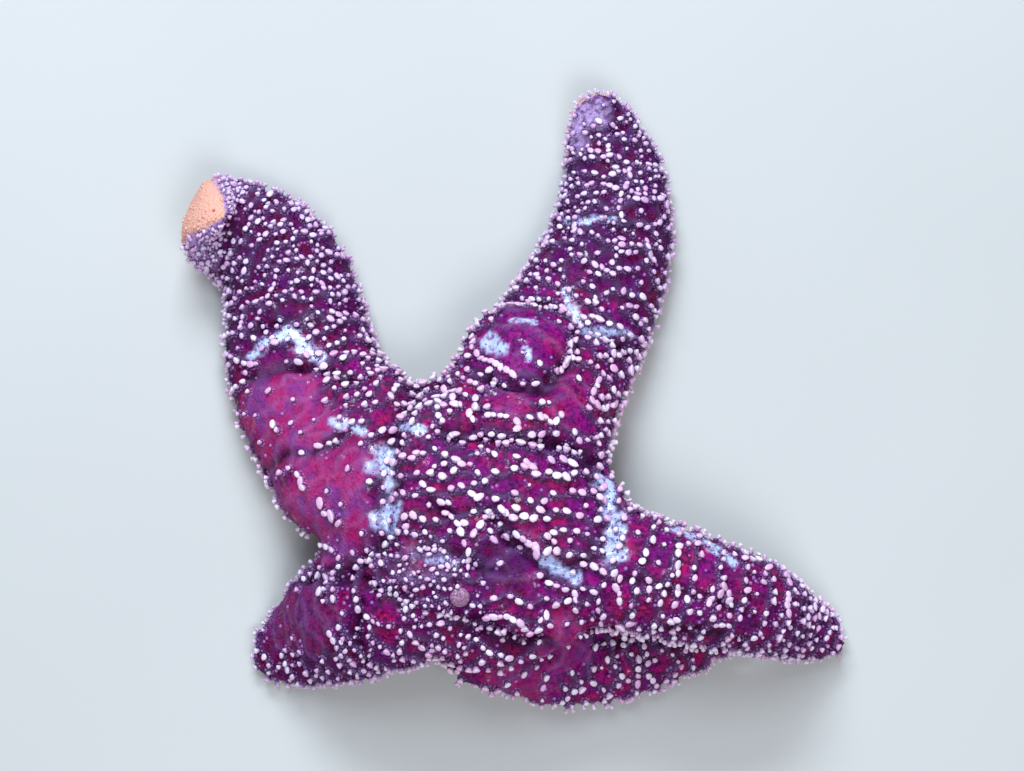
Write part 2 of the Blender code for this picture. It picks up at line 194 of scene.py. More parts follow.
# spots painted darker; the one in the pit at (3, -9) and the one in the crease at (16, 22) are painted shade
DARK_PLACES = ((3, -9, 10, 0.85), (-68, 67, 5, 0.7), (16, 22, 6, 0.5), (-46, -33, 7, 0.6))
FINE_PLACES = ((-19, -16, 14, 1.0), (-8, -24, 8, 0.8), (-34, -31, 8, 0.7), (-60, 72, 10, 0.7))


# --- An arm's course ---


def lerp(pair, share):
    return pair[0] + (pair[1] - pair[0]) * share


def soft_step(value):
    value = np.clip(value, 0, 1)
    return value * value * (3 - 2 * value)


def unit(vector):
    return vector / np.linalg.norm(vector)


def at_equal_steps(values, share):
    """A value between evenly spaced ones, on a smooth curve through them all."""
    place = min(max(share, 0.0), 1.0) * (len(values) - 1)
    before = min(int(place), len(values) - 2)
    blend = place - before
    first, second = values[before], values[before + 1]
    slope_in = (second - values[max(before - 1, 0)]) / 2
    slope_out = (values[min(before + 2, len(values) - 1)] - first) / 2
    change = second - first
    square = 3 * change - 2 * slope_in - slope_out
    cube = slope_in + slope_out - 2 * change
    return first + blend * (slope_in + blend * (square + blend * cube))


def half_width(arm, share):
    """Half the width of an arm at a share of its length, with a blunt rounded end."""
    taper = 1 - ARM_TAPER * share**1.25
    return arm.girth * ARM_HALF_WIDTH * taper * math.sqrt(max(0.0, 1 - share**9))


def shares_along(arm, start, end, gap):
    """Shares of an arm's length from one distance along it to another, with gap(share) between them."""
    along = start
    while along < end:
        share = along / arm.length
        along += gap(share)
        yield share


def disc_middle():
    """The disc's middle in plan, which lies at a set bearing and distance from the sieve plate."""
    low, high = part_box("madreporite")
    bearing = math.radians(SIEVE_BEARING)
    return Vector((
        (low.x + high.x) / 2 - SIEVE_DISTANCE * math.cos(bearing),
        (low.y + high.y) / 2 - SIEVE_DISTANCE * math.sin(bearing),
    ))


def midline(arm, middle):
    """Points from the disc's middle to the arm's tip, with the directions ahead, up and left."""
    straight = arm.length - arm.curl_length
    step = arm.length / STEPS_ALONG_ARM
    place = Vector((middle.x, middle.y, arm.lifts[0] * MM + UNDERSIDE * half_width(arm, 0)))
    points, forwards, upwards = [], [], []
    for index in range(STEPS_ALONG_ARM + 1):
        along = index * step
        bearing = math.radians(at_equal_steps(arm.bearings, along / arm.length))
        heading = Vector((math.cos(bearing), math.sin(bearing), 0))
        if along < straight:
            ahead = min(along + step, straight)
            aim = at_equal_steps(arm.lifts, ahead / straight) * MM
            climb = aim + UNDERSIDE * half_width(arm, ahead / arm.length) - place.z
            pitch = math.asin(max(-STEEPEST, min(STEEPEST, climb / step)))
        else:
            bent = min(1.0, (along - straight) / (CURL_BEND * max(arm.curl_length, step)))
            pitch = math.radians(arm.curl) * bent
        forward = heading * math.cos(pitch) + Vector((0, 0, math.sin(pitch)))
        points.append(place.copy())
        forwards.append(forward)
        upwards.append(Vector((0, 0, math.cos(pitch))) - heading * math.sin(pitch))
        place = place + forward * step
    points, forwards, upwards = np.array(points), np.array(forwards), np.array(upwards)
    return points, forwards, upwards, np.cross(upwards, forwards)


# --- Meshes ---


def new_object(name, data):
    made = bpy.data.objects.new(name, data)
    bpy.context.scene.collection.objects.link(made)
    return made


def mesh_from(name, shape):
    """A mesh of what was put together."""
    data = bpy.data.meshes.new(name)
    shape.to_mesh(data)
    shape.free()
    return data


def evaluated_mesh(thing):
    """A plain mesh of an object as its modifiers make it. The object is removed."""
    graph = bpy.context.evaluated_depsgraph_get()
    data = bpy.data.meshes.new_from_object(thing.evaluated_get(graph))
    bpy.data.objects.remove(thing)
    return data


def column(items, name, width=1, kind=float):
    """A property of many items as an array, with a row for each."""
    values = np.empty(len(items) * width, kind)
    items.foreach_get(name, values)
    return values.reshape(-1, width) if width > 1 else values


def carry(data, name, values):
    """Stores a number or a direction at each point of a mesh."""
    values = np.array(values)
    kind, field = ("FLOAT", "value") if values.ndim == 1 else ("FLOAT_VECTOR", "vector")
    data.attributes.new(name, kind, "POINT").data.foreach_set(field, values.ravel())


def band(mesh, low, high):
    """Faces between two rings of points, or from a ring to a single point."""
    for step in range(len(low)):
        after = (step + 1) % len(low)
        ends = (high[0],) if len(high) == 1 else (high[after], high[step])
        mesh.faces.new((low[step], low[after], *ends))


def joined_solid(node):
    """A node's solid with its loose triangles joined."""
    mesh = bmesh.new()
    mesh.from_mesh(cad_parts[node].data)
    bmesh.ops.remove_doubles(mesh, verts=mesh.verts[:], dist=1e-6)
    return mesh


def finished(piece):
    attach(piece, "root")


# --- The skin's shape ---


def closed_body():
    """The solids as one closed mesh of small even squares, without the cuts: (points, faces)."""
    joined = bmesh.new()
    for node in sorted(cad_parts):
        solid = joined_solid(node)
        solid.normal_update()
        for vert in solid.verts:
            vert.co += vert.normal * CUT_CLOSING
        data = mesh_from(node, solid)
        joined.from_mesh(data)
        bpy.data.meshes.remove(data)
    body = new_object("body", mesh_from("body", joined))
    remesh = body.modifiers.new("one skin", "REMESH")
    remesh.mode = "VOXEL"
    remesh.voxel_size = VOXEL
    whole = evaluated_mesh(body)
    points, faces = column(whole.vertices, "co", 3), column(whole.polygons, "vertices", 4, int)
    bpy.data.meshes.remove(whole)
    return points, faces


def edges_of(faces):
    edges = np.vstack([faces[:, [0, 1]], faces[:, [1, 2]], faces[:, [2, 3]], faces[:, [3, 0]]])
    return np.unique(np.sort(edges, axis=1), axis=0)


def largest_shell(points, faces):
    """The outer shell alone, without bubbles left inside where the cuts were."""
    label = np.arange(len(points))
    first, second = edges_of(faces).T
    changed = True
    while changed:
        low = np.minimum(label[first], label[second])
        fresh = label.copy()
        np.minimum.at(fresh, first, low)
        np.minimum.at(fresh, second, low)
        fresh = fresh[fresh]
        changed = bool((fresh != label).any())
        label = fresh
    names, sizes = np.unique(label, return_counts=True)
    kept = label == names[sizes.argmax()]
    number = np.cumsum(kept) - 1
    return points[kept], number[faces[kept[faces[:, 0]]]]


def summed(numbers, rows, count):
    """For each number below count, the sum of the rows that have it."""
    return np.stack([np.bincount(numbers, values, count) for values in rows.T], 1)


def neighbour_mean(points, edges):
    """The mean place of each point's neighbours."""
    first, second = edges.T
    total = summed(first, points[second], len(points)) + summed(second, points[first], len(points))
    return total / np.bincount(edges.ravel())[:, None]


def normals_of(points, faces):
    """Unit normals at the points of a mesh of squares."""
    across = np.cross(points[faces[:, 2]] - points[faces[:, 0]], points[faces[:, 3]] - points[faces[:, 1]])
    total = sum(summed(corner, across, len(points)) for corner in faces.T)
    return total / np.maximum(np.linalg.norm(total, axis=1, keepdims=True), 1e-12)


def finder_of(points):
    finder = KDTree(len(points))
    for index, point in enumerate(points):
        finder.insert(point, index)
    finder.balance()
    return finder


# Something that stands on the skin: its place and root there, the way that it points, the way that its
# broad side lies, its girth and height, how much broader it is one way, and its tint
Thing = namedtuple("Thing", "root place aim lie girth height broad tint")


class Skin:
    """The skin's points, and for each the arm that it belongs to and its place round that arm."""

    def __init__(self, middle):
        self.middle = middle
        self.lines = [midline(arm, middle) for arm in ARMS]
        self.points, self.faces = largest_shell(*closed_body())
        edges = edges_of(self.faces)
        for _ in range(FACET_SMOOTHING):
            self.points = 0.5 * self.points + 0.5 * neighbour_mean(self.points, edges)
        self.place_points()
        self.move_out(-(COAT_DEPTH + CUT_CLOSING))
        self.place_points()

    def place_points(self):
        """Finds each point's arm and its place along and round it."""
        points = self.points
        self.normals = normals_of(points, self.faces)
        nearest, gaps = [], []
        for stations, *_ in self.lines:
            apart = (points**2).sum(1)[:, None] + (stations**2).sum(1)[None] - 2 * points @ stations.T
            nearest.append(apart.argmin(1))
            gaps.append(apart.min(1))
        self.arm = np.argmin(gaps, 0)
        self.station = np.array(nearest)[self.arm, np.arange(len(points))]
        self.share = self.station / STEPS_ALONG_ARM
        self.along = self.share * self.by_arm(lambda arm: arm.length)
        parts = [np.stack(part)[self.arm, self.station] for part in zip(*self.lines)]
        core, self.ahead, self.up, self.left = parts
        self.side = ((points - core) * self.left).sum(1)
        self.height = ((points - core) * self.up).sum(1)
        self.angle = np.degrees(np.arctan2(self.side, self.height))

    def by_arm(self, value):
        """For each point, a value that depends on its arm."""
        return np.array([value(arm) for arm in ARMS])[self.arm]

    def plan(self):
        """The points in plan, in millimetres from the disc's middle."""
        return (self.points[:, :2] - np.array(self.middle)) / MM

    def waves(self, scale, seed):
        """Smooth noise from -1 to 1 with bumps about as far apart as scale."""
        shift = Vector((seed * 7.31, seed * 3.77, seed * 1.93))
        return np.array([noise.noise(Vector(point) / scale + shift) for point in self.points])

    def move_out(self, distance):
        """Moves the points along their normals."""
        self.points = self.points + self.normals * np.reshape(distance, (-1, 1))

    def settle(self):
        """Makes the skin as it is now the one that things are set on."""
        self.surface = BVHTree.FromPolygons(self.points.tolist(), self.faces.tolist())
        self.finder = finder_of(self.points)
        self.chance = np.random.default_rng(SEED)

    def met(self, start, direction):
        """Where a ray first meets the skin, with the skin's point nearest to it. Nothing where it doesn't."""
        place = self.surface.ray_cast(Vector(start), Vector(direction))[0]
        return [] if place is None else [(place, self.finder.find(place)[1])]

    def station_at(self, number, share):
        """The midline's place in an arm, and its directions ahead, up and left."""
        return (part[round(share * STEPS_ALONG_ARM)] for part in self.lines[number])

    def out_from(self, number, share, angle):
        """What is met in a direction round an arm, 0 degrees being its back and 90 its left side."""
        core, _, up, left = self.station_at(number, share)
        turn = math.radians(angle)
        return self.met(core, up * math.cos(turn) + left * math.sin(turn))

    def leaning(self, root, tip_lean):
        """The way that a thing points: out from the skin, a little to the arm's tip and by chance."""
        return unit(self.normals[root] + self.ahead[root] * tip_lean + self.chance.normal(0, 0.09, 3))

    def thing(self, root, aim, girth, height, place=None, broad=1.0):
        """A thing with its own tint and a lie of its own, at its root where no place is given."""
        place = self.points[root] if place is None else place
        lie = self.lie[root] + self.chance.normal(0, 0.25, 3)
        return Thing(root, tuple(place), tuple(aim), tuple(lie), girth, height, broad, self.chance.random())


def distance_to_path(places, path):
    """Distance in plan from each place to a line of short straight runs."""
    nearest = np.full(len(places), np.inf)
    corners = np.reshape(path, (-1, 2))
    for start, end in zip(corners, corners[1:]):
        run = end - start
        reach = np.clip((places - start) @ run / (run @ run), 0, 1)
        nearest = np.minimum(nearest, np.linalg.norm(places - start - reach[:, None] * run, axis=1))
    return nearest


def patch(away, wander):
    """1 on a place and 0 off it, with a soft wandering edge. away is in the place's radii."""
    return soft_step((1.15 - away + 0.5 * wander) * 2)


def away_from(plan, x, y, radius):
    return np.linalg.norm(plan - (x, y), axis=1) / radius


def strongest(plan, places, wander):
    """How strongly each point is marked by any of some round places."""
    marks = [strength * patch(away_from(plan, *spot), wander) for *spot, strength in places]
    return np.max(marks, 0)


def fold_skin(skin):
    """Presses the folds in, with painted shade along their creases, raises the taut places, and marks the wet
    places, which also get a painted sky highlight, and the pale ones.
    """
    plan = skin.plan()
    facing_up = soft_step(skin.normals[:, 2] / 0.5)
    wander = skin.waves(9 * MM, 3)
    skin.folded, skin.taut, skin.rosy, skin.wet, inward, outward = np.zeros((6, len(plan)))
    for path, width, depth in FOLDS:
        away = distance_to_path(plan, path) + 1.5 * wander
        inward = np.maximum(inward, depth * np.exp(-((away / (0.5 * width)) ** 2)))
        # painted shade along each fold's crease
        skin.folded = np.maximum(skin.folded, np.exp(-((away / (0.55 * width)) ** 2)))
    for x, y, radius, lift, bareness, rosy in TAUT_PLACES:
        away = away_from(plan, x, y, radius)
        outward += lift * np.clip(1 - away**2, 0, 1)
        skin.taut = np.maximum(skin.taut, bareness * patch(away, wander))
        skin.rosy = np.maximum(skin.rosy, rosy * patch(away, wander))
    ragged = 0.6 * wander + 0.9 * skin.waves(2.8 * MM, 5)
    # wet places: a glossier coat, and a painted sky highlight in the skin's colour
    for path, width in WET_AND_HIGHLIGHT_PLACES:
        away = distance_to_path(plan, path) / (0.5 * width)
        skin.wet = np.maximum(skin.wet, soft_step((1.2 - away + ragged) * 1.4))
    skin.pale = strongest(plan, PALE_PLACES, wander)
    skin.folded *= facing_up * (1 - skin.wet)
    skin.wet *= facing_up
    skin.taut *= soft_step((skin.normals[:, 2] + 0.4) / 0.6)
    loose = skin.waves(14 * MM, 1) + 0.6 * skin.waves(6 * MM, 2)
    skin.move_out(((outward - inward) * facing_up + 0.45 * loose) * MM)
    skin.points[:, 2] = np.maximum(skin.points[:, 2], LOWEST_SKIN)
    skin.place_points()


# --- The net ---


def cell_middles(skin):
    """Middles of the net's meshes: bricks round the arms, and level rows on the disc."""
    chance = np.random.default_rng(SEED)
    found = []
    spacing, width = ROW_SPACING[0] * DISC_NET_SHARE, CELL_WIDTH[0] * DISC_NET_SHARE
    rows, columns = int(DISC_NET_RADIUS / spacing) + 1, int(DISC_NET_RADIUS / width) + 1
    for row, column in product(range(-rows, rows + 1), range(-columns, columns + 1)):
        across = column + 0.5 * (row % 2) + chance.uniform(-NET_LOOSENESS, NET_LOOSENESS)
        up = row + chance.uniform(-NET_LOOSENESS, NET_LOOSENESS) * 0.6
        place = Vector((across * width, up * spacing)) + skin.middle
        if (place - skin.middle).length <= DISC_NET_RADIUS:
            found += skin.met((*place, 1), DOWN)
    for number, arm in enumerate(ARMS):
        loose, wide = (0, 1) if arm.name == ROWED_ARM else (NET_LOOSENESS, LOOSE_WIDTH)
        shares = shares_along(arm, ARM_NET_START, arm.length, lambda share: lerp(ROW_SPACING, share))
        for brick, share in enumerate(shares):
            girth = max(half_width(arm, min(share, 0.97)), NARROWEST)
            turn = math.degrees(lerp(CELL_WIDTH, share) * wide / girth)
            reach = int(NET_ANGLE / turn) + 1
            for step in range(-reach, reach + 1):
                angle = (step + 0.5 * (brick % 2) + chance.uniform(-loose, loose)) * turn
                here = share + chance.uniform(-loose, loose) * lerp(ROW_SPACING, share) / arm.length
                if abs(angle) < NET_ANGLE:
                    found += skin.out_from(number, min(max(here, 0), 1), angle)
    found = np.array([place for place, _ in found])
    middles = found[thinned(found, np.full(len(found), CELL_GAP), range(len(found)))]
    return middles + chance.normal(0, 0.22 * NET_WANDER, middles.shape)


def thinned(points, gaps, order):
    """Indices of points that keep at least their gap to the ones kept before them."""
    cell = float(np.max(gaps))
    table, kept = {}, []
    beside = list(product((-1, 0, 1), repeat=3))
    for index in order:
        x, y, z = points[index]
        i, j, k = int(x // cell), int(y // cell), int(z // cell)
        limit = gaps[index] ** 2
        near = (there for di, dj, dk in beside for there in table.get((i + di, j + dj, k + dk), ()))
        if not any((px - x) ** 2 + (py - y) ** 2 + (pz - z) ** 2 < limit for px, py, pz in near):
            table.setdefault((i, j, k), []).append((x, y, z))
            kept.append(int(index))
    return np.array(kept, int)


def raise_net(skin, middles):
    """Raises the net's ridges, and notes how far each point is from them and how they run.

    rowed is 1 at a ridge that runs along the rows, and 0 at a link between two rows.
    """
    tree = finder_of(middles)
    wander = np.stack([skin.waves(7 * MM, seed) for seed in (11, 12, 13)], 1) * NET_WANDER
    away, across = np.empty(len(skin.points)), np.empty_like(skin.points)
    for index, point in enumerate(skin.points + wander):
        (first, _, near), (second, _, far) = tree.find_n(point, 2)
        away[index] = (far**2 - near**2) / (2 * max((first - second).length, 1e-6))
        across[index] = (first - second).normalized()
    on_disc = np.linalg.norm(skin.plan(), axis=1) * MM < DISC_NET_RADIUS
    stacked = np.where(on_disc[:, None], (0, 1, 0), skin.ahead)
    skin.rowed = soft_step((np.abs((across * stacked).sum(1)) - 0.35) / 0.4)
    skin.lie = np.cross(skin.normals, across)
    skin.from_ridge = away
    skin.inland = np.clip(away / INLAND + 0.45 * (1 - skin.rowed), 0, 1)
    skin.outer = soft_step((MARGIN_ANGLE + 6 - np.abs(skin.angle)) / 8)
    skin.ridge = np.exp(-((away / RIDGE_WIDTH) ** 2)) * skin.outer * (0.2 + 0.8 * skin.rowed)
    flat = 1 - 0.75 * np.maximum(skin.taut, skin.wet)
    skin.move_out((skin.ridge - RIDGE_SHARE_SUNK) * skin.outer * RIDGE_HEIGHT * flat)
    skin.normals = normals_of(skin.points, skin.faces)


# --- What stands on the skin ---

SPINE_GAP = (2.2 * MM, 1.7 * MM)
SPINE_GIRTH = (0.93 * MM, 0.68 * MM)
SPINE_HEIGHT = (1.65 * MM, 1.3 * MM)
RIDGE_REACH = 0.62 * MM  # how far from a ridge's line its spines stand
CLUMP_REACH = 1.1 * MM  # how much farther where they stand in clumps
LINK_GAP = 0.8  # how much farther apart the spines are on the links between the net's rows
CLUMP_GAP = 1.6 * MM
CHAIN_GAP = 1.9 * MM
WREATH_BEADS = 8
CLUMP_BEADS = 5  # where the spines stand in clumps
WREATH_GAP = 0.42 * MM
BEAD_RADIUS = 0.33 * MM
BEAD_HEIGHT = 1.35  # in radii
GRAIN_GAP = (1.05 * MM, 0.8 * MM)
GRAINS_OFF_RIDGE = 0.9 * MM
YOUNG_SPINES = 0.1  # share of the grains that are spines just grown
PLATE_RADIUS = 2.6 * MM
PLATE_CLEARANCE = 0.6 * MM

Row = namedtuple("Row", "angle gap girth height")
SOLE_ROWS = (
    Row(50, 2.0 * MM, 0.6 * MM, 1.8 * MM),
    Row(60, 1.8 * MM, 0.6 * MM, 2.0 * MM),
    Row(70, 1.6 * MM, 0.55 * MM, 2.2 * MM),
    Row(80, 1.6 * MM, 0.5 * MM, 2.2 * MM),
)
MARGIN_ROWS = (
    Row(92, 3.2 * MM, 0.76 * MM, 2.5 * MM),
    Row(108, 2.9 * MM, 0.72 * MM, 2.8 * MM),
    Row(122, 2.6 * MM, 0.6 * MM, 2.6 * MM),
)
MARGIN_START, ROWS_END = 0.24, 0.985  # shares of an arm's length
STRAYED = 25  # degrees round an arm past which a spine isn't in its row any more
LOW_ROW = 100  # rows at more degrees than this are left off a curled tip

# Chains of spines that stand out from the rest
CHAINS = (
    # round the bulge at the root of arm_back, and below it
    (0, 62, 2, 64, 8, 64, 14, 63, 18, 62, 22, 58),
    (-3, 62, -6, 59, -8, 56, -11, 51, -11, 47),
    (-6, 54, -6, 51, -4, 47, -1, 46, 3, 43, 7, 40, 12, 40),
    (22, 55, 19, 52, 19, 49, 18, 46, 16, 42),
    (-10, 43, -7, 40, -3, 38),
    (-14, 39, -11, 34, -7, 31, -5, 27),
    (-29, 36, -27, 34, -24, 34, -22, 36),
    (-20, 33, -16, 34, -13, 33),
    (-2, 30, 1, 30, 4, 30, 6, 27),
    (9, 30, 11, 30, 14, 28, 15, 27, 17, 30, 19, 28),
    (28, 44, 25, 36, 28, 34, 32, 37, 32, 39),
    # on arm_back
    (37, 104, 36, 100, 35, 97, 34, 92, 35, 89, 39, 88, 42, 87),
    (42, 87, 45, 89, 47, 93, 46, 97, 44, 98),
    (41, 83, 42, 80, 44, 77),
    (23, 85, 22, 86, 22, 89, 24, 91),
    (25, 99, 28, 100, 31, 99, 30, 97, 26, 97, 25, 95),
    (16, 96, 18, 93),
    (26, 60, 29, 59, 32, 59),
    (36, 64, 41, 65),
    (26, 74, 30, 72),
    # on the disc
    (-21, 19, -17, 19),
    (-11, 17, -8, 16, -5, 16),
    (-1, 19, -5, 22, -7, 21),
    (5, 18, 8, 17, 11, 15),
    (14, 18, 17, 18, 20, 17, 22, 16),
    (-19, 11, -17, 9, -14, 7, -11, 6),
    (-9, 10, -7, 8, -3, 7),
    (-13, 3, -10, 1, -7, 0),
    (-10, 0, -8, -4, -7, -7, -8, -13, -8, -18),
    (-6, -3, -2, 3, 1, 4, 4, 2, 7, 2),
    (6, -2, 10, -5, 12, -8),
    (-2, -2, 1, -5),
    (-2, -23, 3, -23, 6, -25, 9, -27, 11, -26, 13, -23, 12, -21),
    (14, -15, 18, -16, 20, -16),
    (-20, -12, -17, -11, -14, -10, -12, -10),
    (-21, -16, -18, -14, -15, -15, -12, -18),
    (-38, -6, -36, -8, -32, -7, -29, -9),
    (-18, -19, -15, -22, -11, -22),
    (-23, -28, -18, -32, -13, -34, -10, -37),
    # on the side of the swelling at the root of arm_back_left
    (-47, 8, -45, 5, -41, 2, -39, 3),
    (-71, 50, -67, 48, -64, 48),
    (-62, 40, -60, 41),
    (-60, 30, -58, 27, -56, 27),
    (-52, 21, -50, 20),
    (-48, 23, -44, 23, -41, 23),
    (-46, 35, -44, 36),
    (-53, 15, -50, 10),
    (-53, 2, -50, 0),
    (-48, -2, -42, -5),
    # along the edges of arm_back_left and up its middle
    (-77, 74, -75, 71, -72, 68, -70, 65),
    (-70, 64, -70, 60, -70, 55),
    (-58, 77, -54, 78, -52, 76, -50, 72, -48, 69, -46, 64),
    (-46, 62, -40, 62, -38, 59, -36, 56),
    (-66, 65, -63, 67, -61, 70, -60, 74),
    # on arm_front_left
    (-47, -16, -45, -14, -43, -16, -43, -20),
    (-44, -27, -41, -32, -36, -35),
    (-34, -23, -31, -25, -29, -27),
    # across arm_right, and along its lower edge
    (21, -17, 21, -23),
    (32, -14, 32, -21),
    (40, -17, 40, -21),
    (47, -10, 47, -22),
    (56, -20, 57, -15, 61, -17, 61, -22),
    (66, -8, 70, -8, 72, -10, 70, -14, 73, -15),
    (77, -10, 78, -15, 77, -20, 78, -23),
    (83, -11, 86, -15, 85, -20, 87, -21, 89, -17),
    (33, -25, 38, -24),
    (46, -24, 50, -24),
    (58, -25, 61, -25, 63, -26),
)


def chain_roots(skin):
    """The skin's points at equal steps along each chain, and which way the chain runs there."""
    found = {}
    for path in CHAINS:
        corners = list(zip(path[::2], path[1::2]))
        for (x0, y0), (x1, y1) in zip(corners, corners[1:]):
            step = Vector((x1 - x0, y1 - y0, 0)) * MM
            count = max(1, round(step.length / CHAIN_GAP))
            for number in range(count):
                place = skin.middle + Vector((x0, y0)) * MM + step.to_2d() * number / count
                for _, root in skin.met((*place, 1), DOWN):
                    found[root] = step.normalized()
    return found


def off_plate(points):
    """Which points are clear of the sieve plate."""
    low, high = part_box("madreporite")
    return np.linalg.norm(points - np.array((low + high) / 2), axis=1) > PLATE_RADIUS + PLATE_CLEARANCE


def net_spines(skin, chains):
    """Blunt spines along the net's ridges: close together in the rows, and finer to the arms' tips."""
    chance = skin.chance
    far = soft_step((skin.share - 0.2) / 0.8)
    gaps = lerp(SPINE_GAP, far) * (1 + 0.9 * skin.taut + LINK_GAP * (1 - skin.rowed) + 0.8 * skin.wet)
    on_net = np.where((skin.from_ridge < RIDGE_REACH + CLUMP_REACH * skin.clumped) & (skin.outer > 0.5))[0]
    preference = skin.from_ridge[on_net] + chance.uniform(0, 0.5 * MM, len(on_net))
    order = on_net[np.argsort(preference + (1 - skin.rowed[on_net]) * MM)]
    gaps[list(chains)] = 0.75 * CHAIN_GAP
    order = np.array([*chains, *order])
    cluster = skin.waves(9 * MM, 21)
    gaps *= 1.1 - 0.2 * cluster
    gaps += (CLUMP_GAP - gaps) * skin.clumped
    for root in thinned(skin.points, gaps, order[off_plate(skin.points[order])]):
        chained, taut, share = root in chains, skin.taut[root], skin.share[root]
        if not chained and taut > 0.45 and chance.random() < taut * 0.85:
            continue
        bare, rowed = (0, 1) if chained else (taut, skin.rowed[root])
        if chained:
            skin.lie[root] = chains[root]
        size = (1 + 0.25 * cluster[root]) * chance.uniform(0.72, 1.18) * (1 - 0.3 * bare)
        size *= (0.82 + 0.18 * rowed) * (1.08 - 0.28 * skin.fine[root])
        girth = lerp(SPINE_GIRTH, share) * size
        height = lerp(SPINE_HEIGHT, share) * chance.uniform(0.8, 1.2) * (1 - 0.3 * bare)
        broad = 1 + chance.uniform(0, 0.45) * rowed + 0.2 * chained
        yield skin.thing(root, skin.leaning(root, 0.12), girth, height, broad=broad)


def wreaths(skin, spines):
    """A ring of pincer heads round the foot of each spine."""
    chance = skin.chance
    for spine in spines:
        normal = Vector(skin.normals[spine.root])
        side = normal.orthogonal().normalized()
        other = normal.cross(side)
        begin = chance.uniform(0, 2 * math.pi)
        count = CLUMP_BEADS if skin.clumped[spine.root] > 0.5 else WREATH_BEADS
        for step in range(count):
            turn = begin + 2 * math.pi * step / count + chance.normal(0, 0.12)
            reach = spine.girth * 0.75 + WREATH_GAP + chance.uniform(-0.1, 0.14) * MM
            near = Vector(spine.place) + (side * math.cos(turn) + other * math.sin(turn)) * reach
            spot, facing = skin.surface.find_nearest(near)[:2]
            size = BEAD_RADIUS * chance.uniform(0.75, 1.2)
            bead = skin.thing(spine.root, facing, size, size * BEAD_HEIGHT, spot)
            yield bead._replace(tint=chance.uniform(0.5, 1))


def grains(skin):
    """Small soft grains in the net's meshes, and on the sole of a curled tip."""
    chance = skin.chance
    far = soft_step((skin.share - 0.2) / 0.8)
    on_sole = (skin.outer < 0.5) & (skin.share > skin.by_arm(furrow_end))
    bare = (skin.from_ridge > GRAINS_OFF_RIDGE) & (skin.outer > 0.5) | on_sole
    gaps = lerp(GRAIN_GAP, far) * (1 + 0.5 * skin.taut + skin.wet)
    order = chance.permutation(np.where(bare & off_plate(skin.points))[0])
    for root in thinned(skin.points, gaps, order):
        young = chance.random() < YOUNG_SPINES * (1 - 0.6 * skin.taut[root])
        size = BEAD_RADIUS * chance.uniform(*(1.3, 2.0) if young else (0.5, 0.95))
        grain = skin.thing(root, skin.normals[root], size, size)
        yield grain._replace(tint=chance.uniform(*(0.85, 1.3) if young else (0, 0.45)))


def row_along(skin, number, angle, gap, start):
    """Skin points, and their shares of an arm's length, in one direction round it."""
    arm = ARMS[number]
    gaps = (gap, 0.7 * gap)
    end = ROWS_END * arm.length
    for share in shares_along(arm, start * arm.length, end, lambda share: lerp(gaps, share)):
        for _, root in skin.out_from(number, share, angle):
            if skin.arm[root] == number and abs(abs(skin.angle[root]) - abs(angle)) < STRAYED:
                yield root, share


def margin_spines(skin):
    """The rows of longer spines that edge each arm."""
    chance = skin.chance
    for (number, arm), side in product(enumerate(ARMS), (-1, 1)):
        for row in MARGIN_ROWS + SOLE_ROWS:
            start = MARGIN_START if row in MARGIN_ROWS else sole_start(arm)
            for root, share in row_along(skin, number, side * row.angle, row.gap, start):
                on_roll = share > sole_start(arm)
                if chance.random() < 0.7 * skin.taut[root] or on_roll and row.angle > LOW_ROW:
                    continue
                size = chance.uniform(0.85, 1.15) * (1 - 0.35 * share) * (1 - 0.3 * skin.taut[root])
                aim = skin.leaning(root, 0.2)
                yield skin.thing(root, aim, row.girth * size, row.height * size)


# --- The underside ---

FURROW_HALF_WIDTH = 5.0 * MM
FURROW_END = 0.93
FURROW_CLOSED = 0.75
FOOT_ROWS = (-0.62, -0.24, 0.24, 0.62)  # in half widths of the furrow
FOOT_GAP = 2.3 * MM
FOOT_GIRTH = 0.55 * MM
FOOT_REACH = (1.8 * MM, 7.5 * MM)
FOOT_CLEARANCE = 0.25 * MM
FIRST_FOOT = 8 * MM  # from the disc's middle
MOUTH_SPINE = (0.42 * MM, 4.2 * MM)  # girth, height
MOUTH_REACH = (6.0, 8.5)  # millimetres from the middle
CORNER = 36  # degrees from an arm to the corner of the mouth beside it
EYE = (0.5 * MM, 0.6 * MM)  # girth, height
EYE_SHARE = 0.93
BELOW = 24 * MM  # farther below a midline than the skin is
UNDER_STRAY = 2.5 * MM  # how far a spine may be from its row

# Rows of spines under an arm: how far out from the furrow to the arm's edge, and how far they lean over
# the furrow
UnderRow = namedtuple("UnderRow", "fraction gap girth height lean")
UNDER_ROWS = (
    UnderRow(0.0, 1.25 * MM, 0.33 * MM, 2.3 * MM, 0.35),
    UnderRow(0.0, 1.25 * MM, 0.33 * MM, 2.6 * MM, -0.15),
    UnderRow(0.45, 2.6 * MM, 0.5 * MM, 2.2 * MM, 0.0),
    UnderRow(0.75, 2.8 * MM, 0.55 * MM, 2.3 * MM, -0.1),
)


def furrow_end(arm):
    """Where an arm's furrow ends, as a share of its length: near the tip, or where a curl closes it."""
    return min(FURROW_END, 1 - FURROW_CLOSED * arm.curl_length / arm.length)


def sole_start(arm):
    """Where an arm rolls over and shows its sole, as a share of its length. Past its end if it doesn't."""
    return furrow_end(arm) if arm.curl > ROLLED else 2.0


def furrow_half_width(arm, share):
    return FURROW_HALF_WIDTH * min(1.0, half_width(arm, min(share, 0.98)) / (0.5 * ARM_HALF_WIDTH))


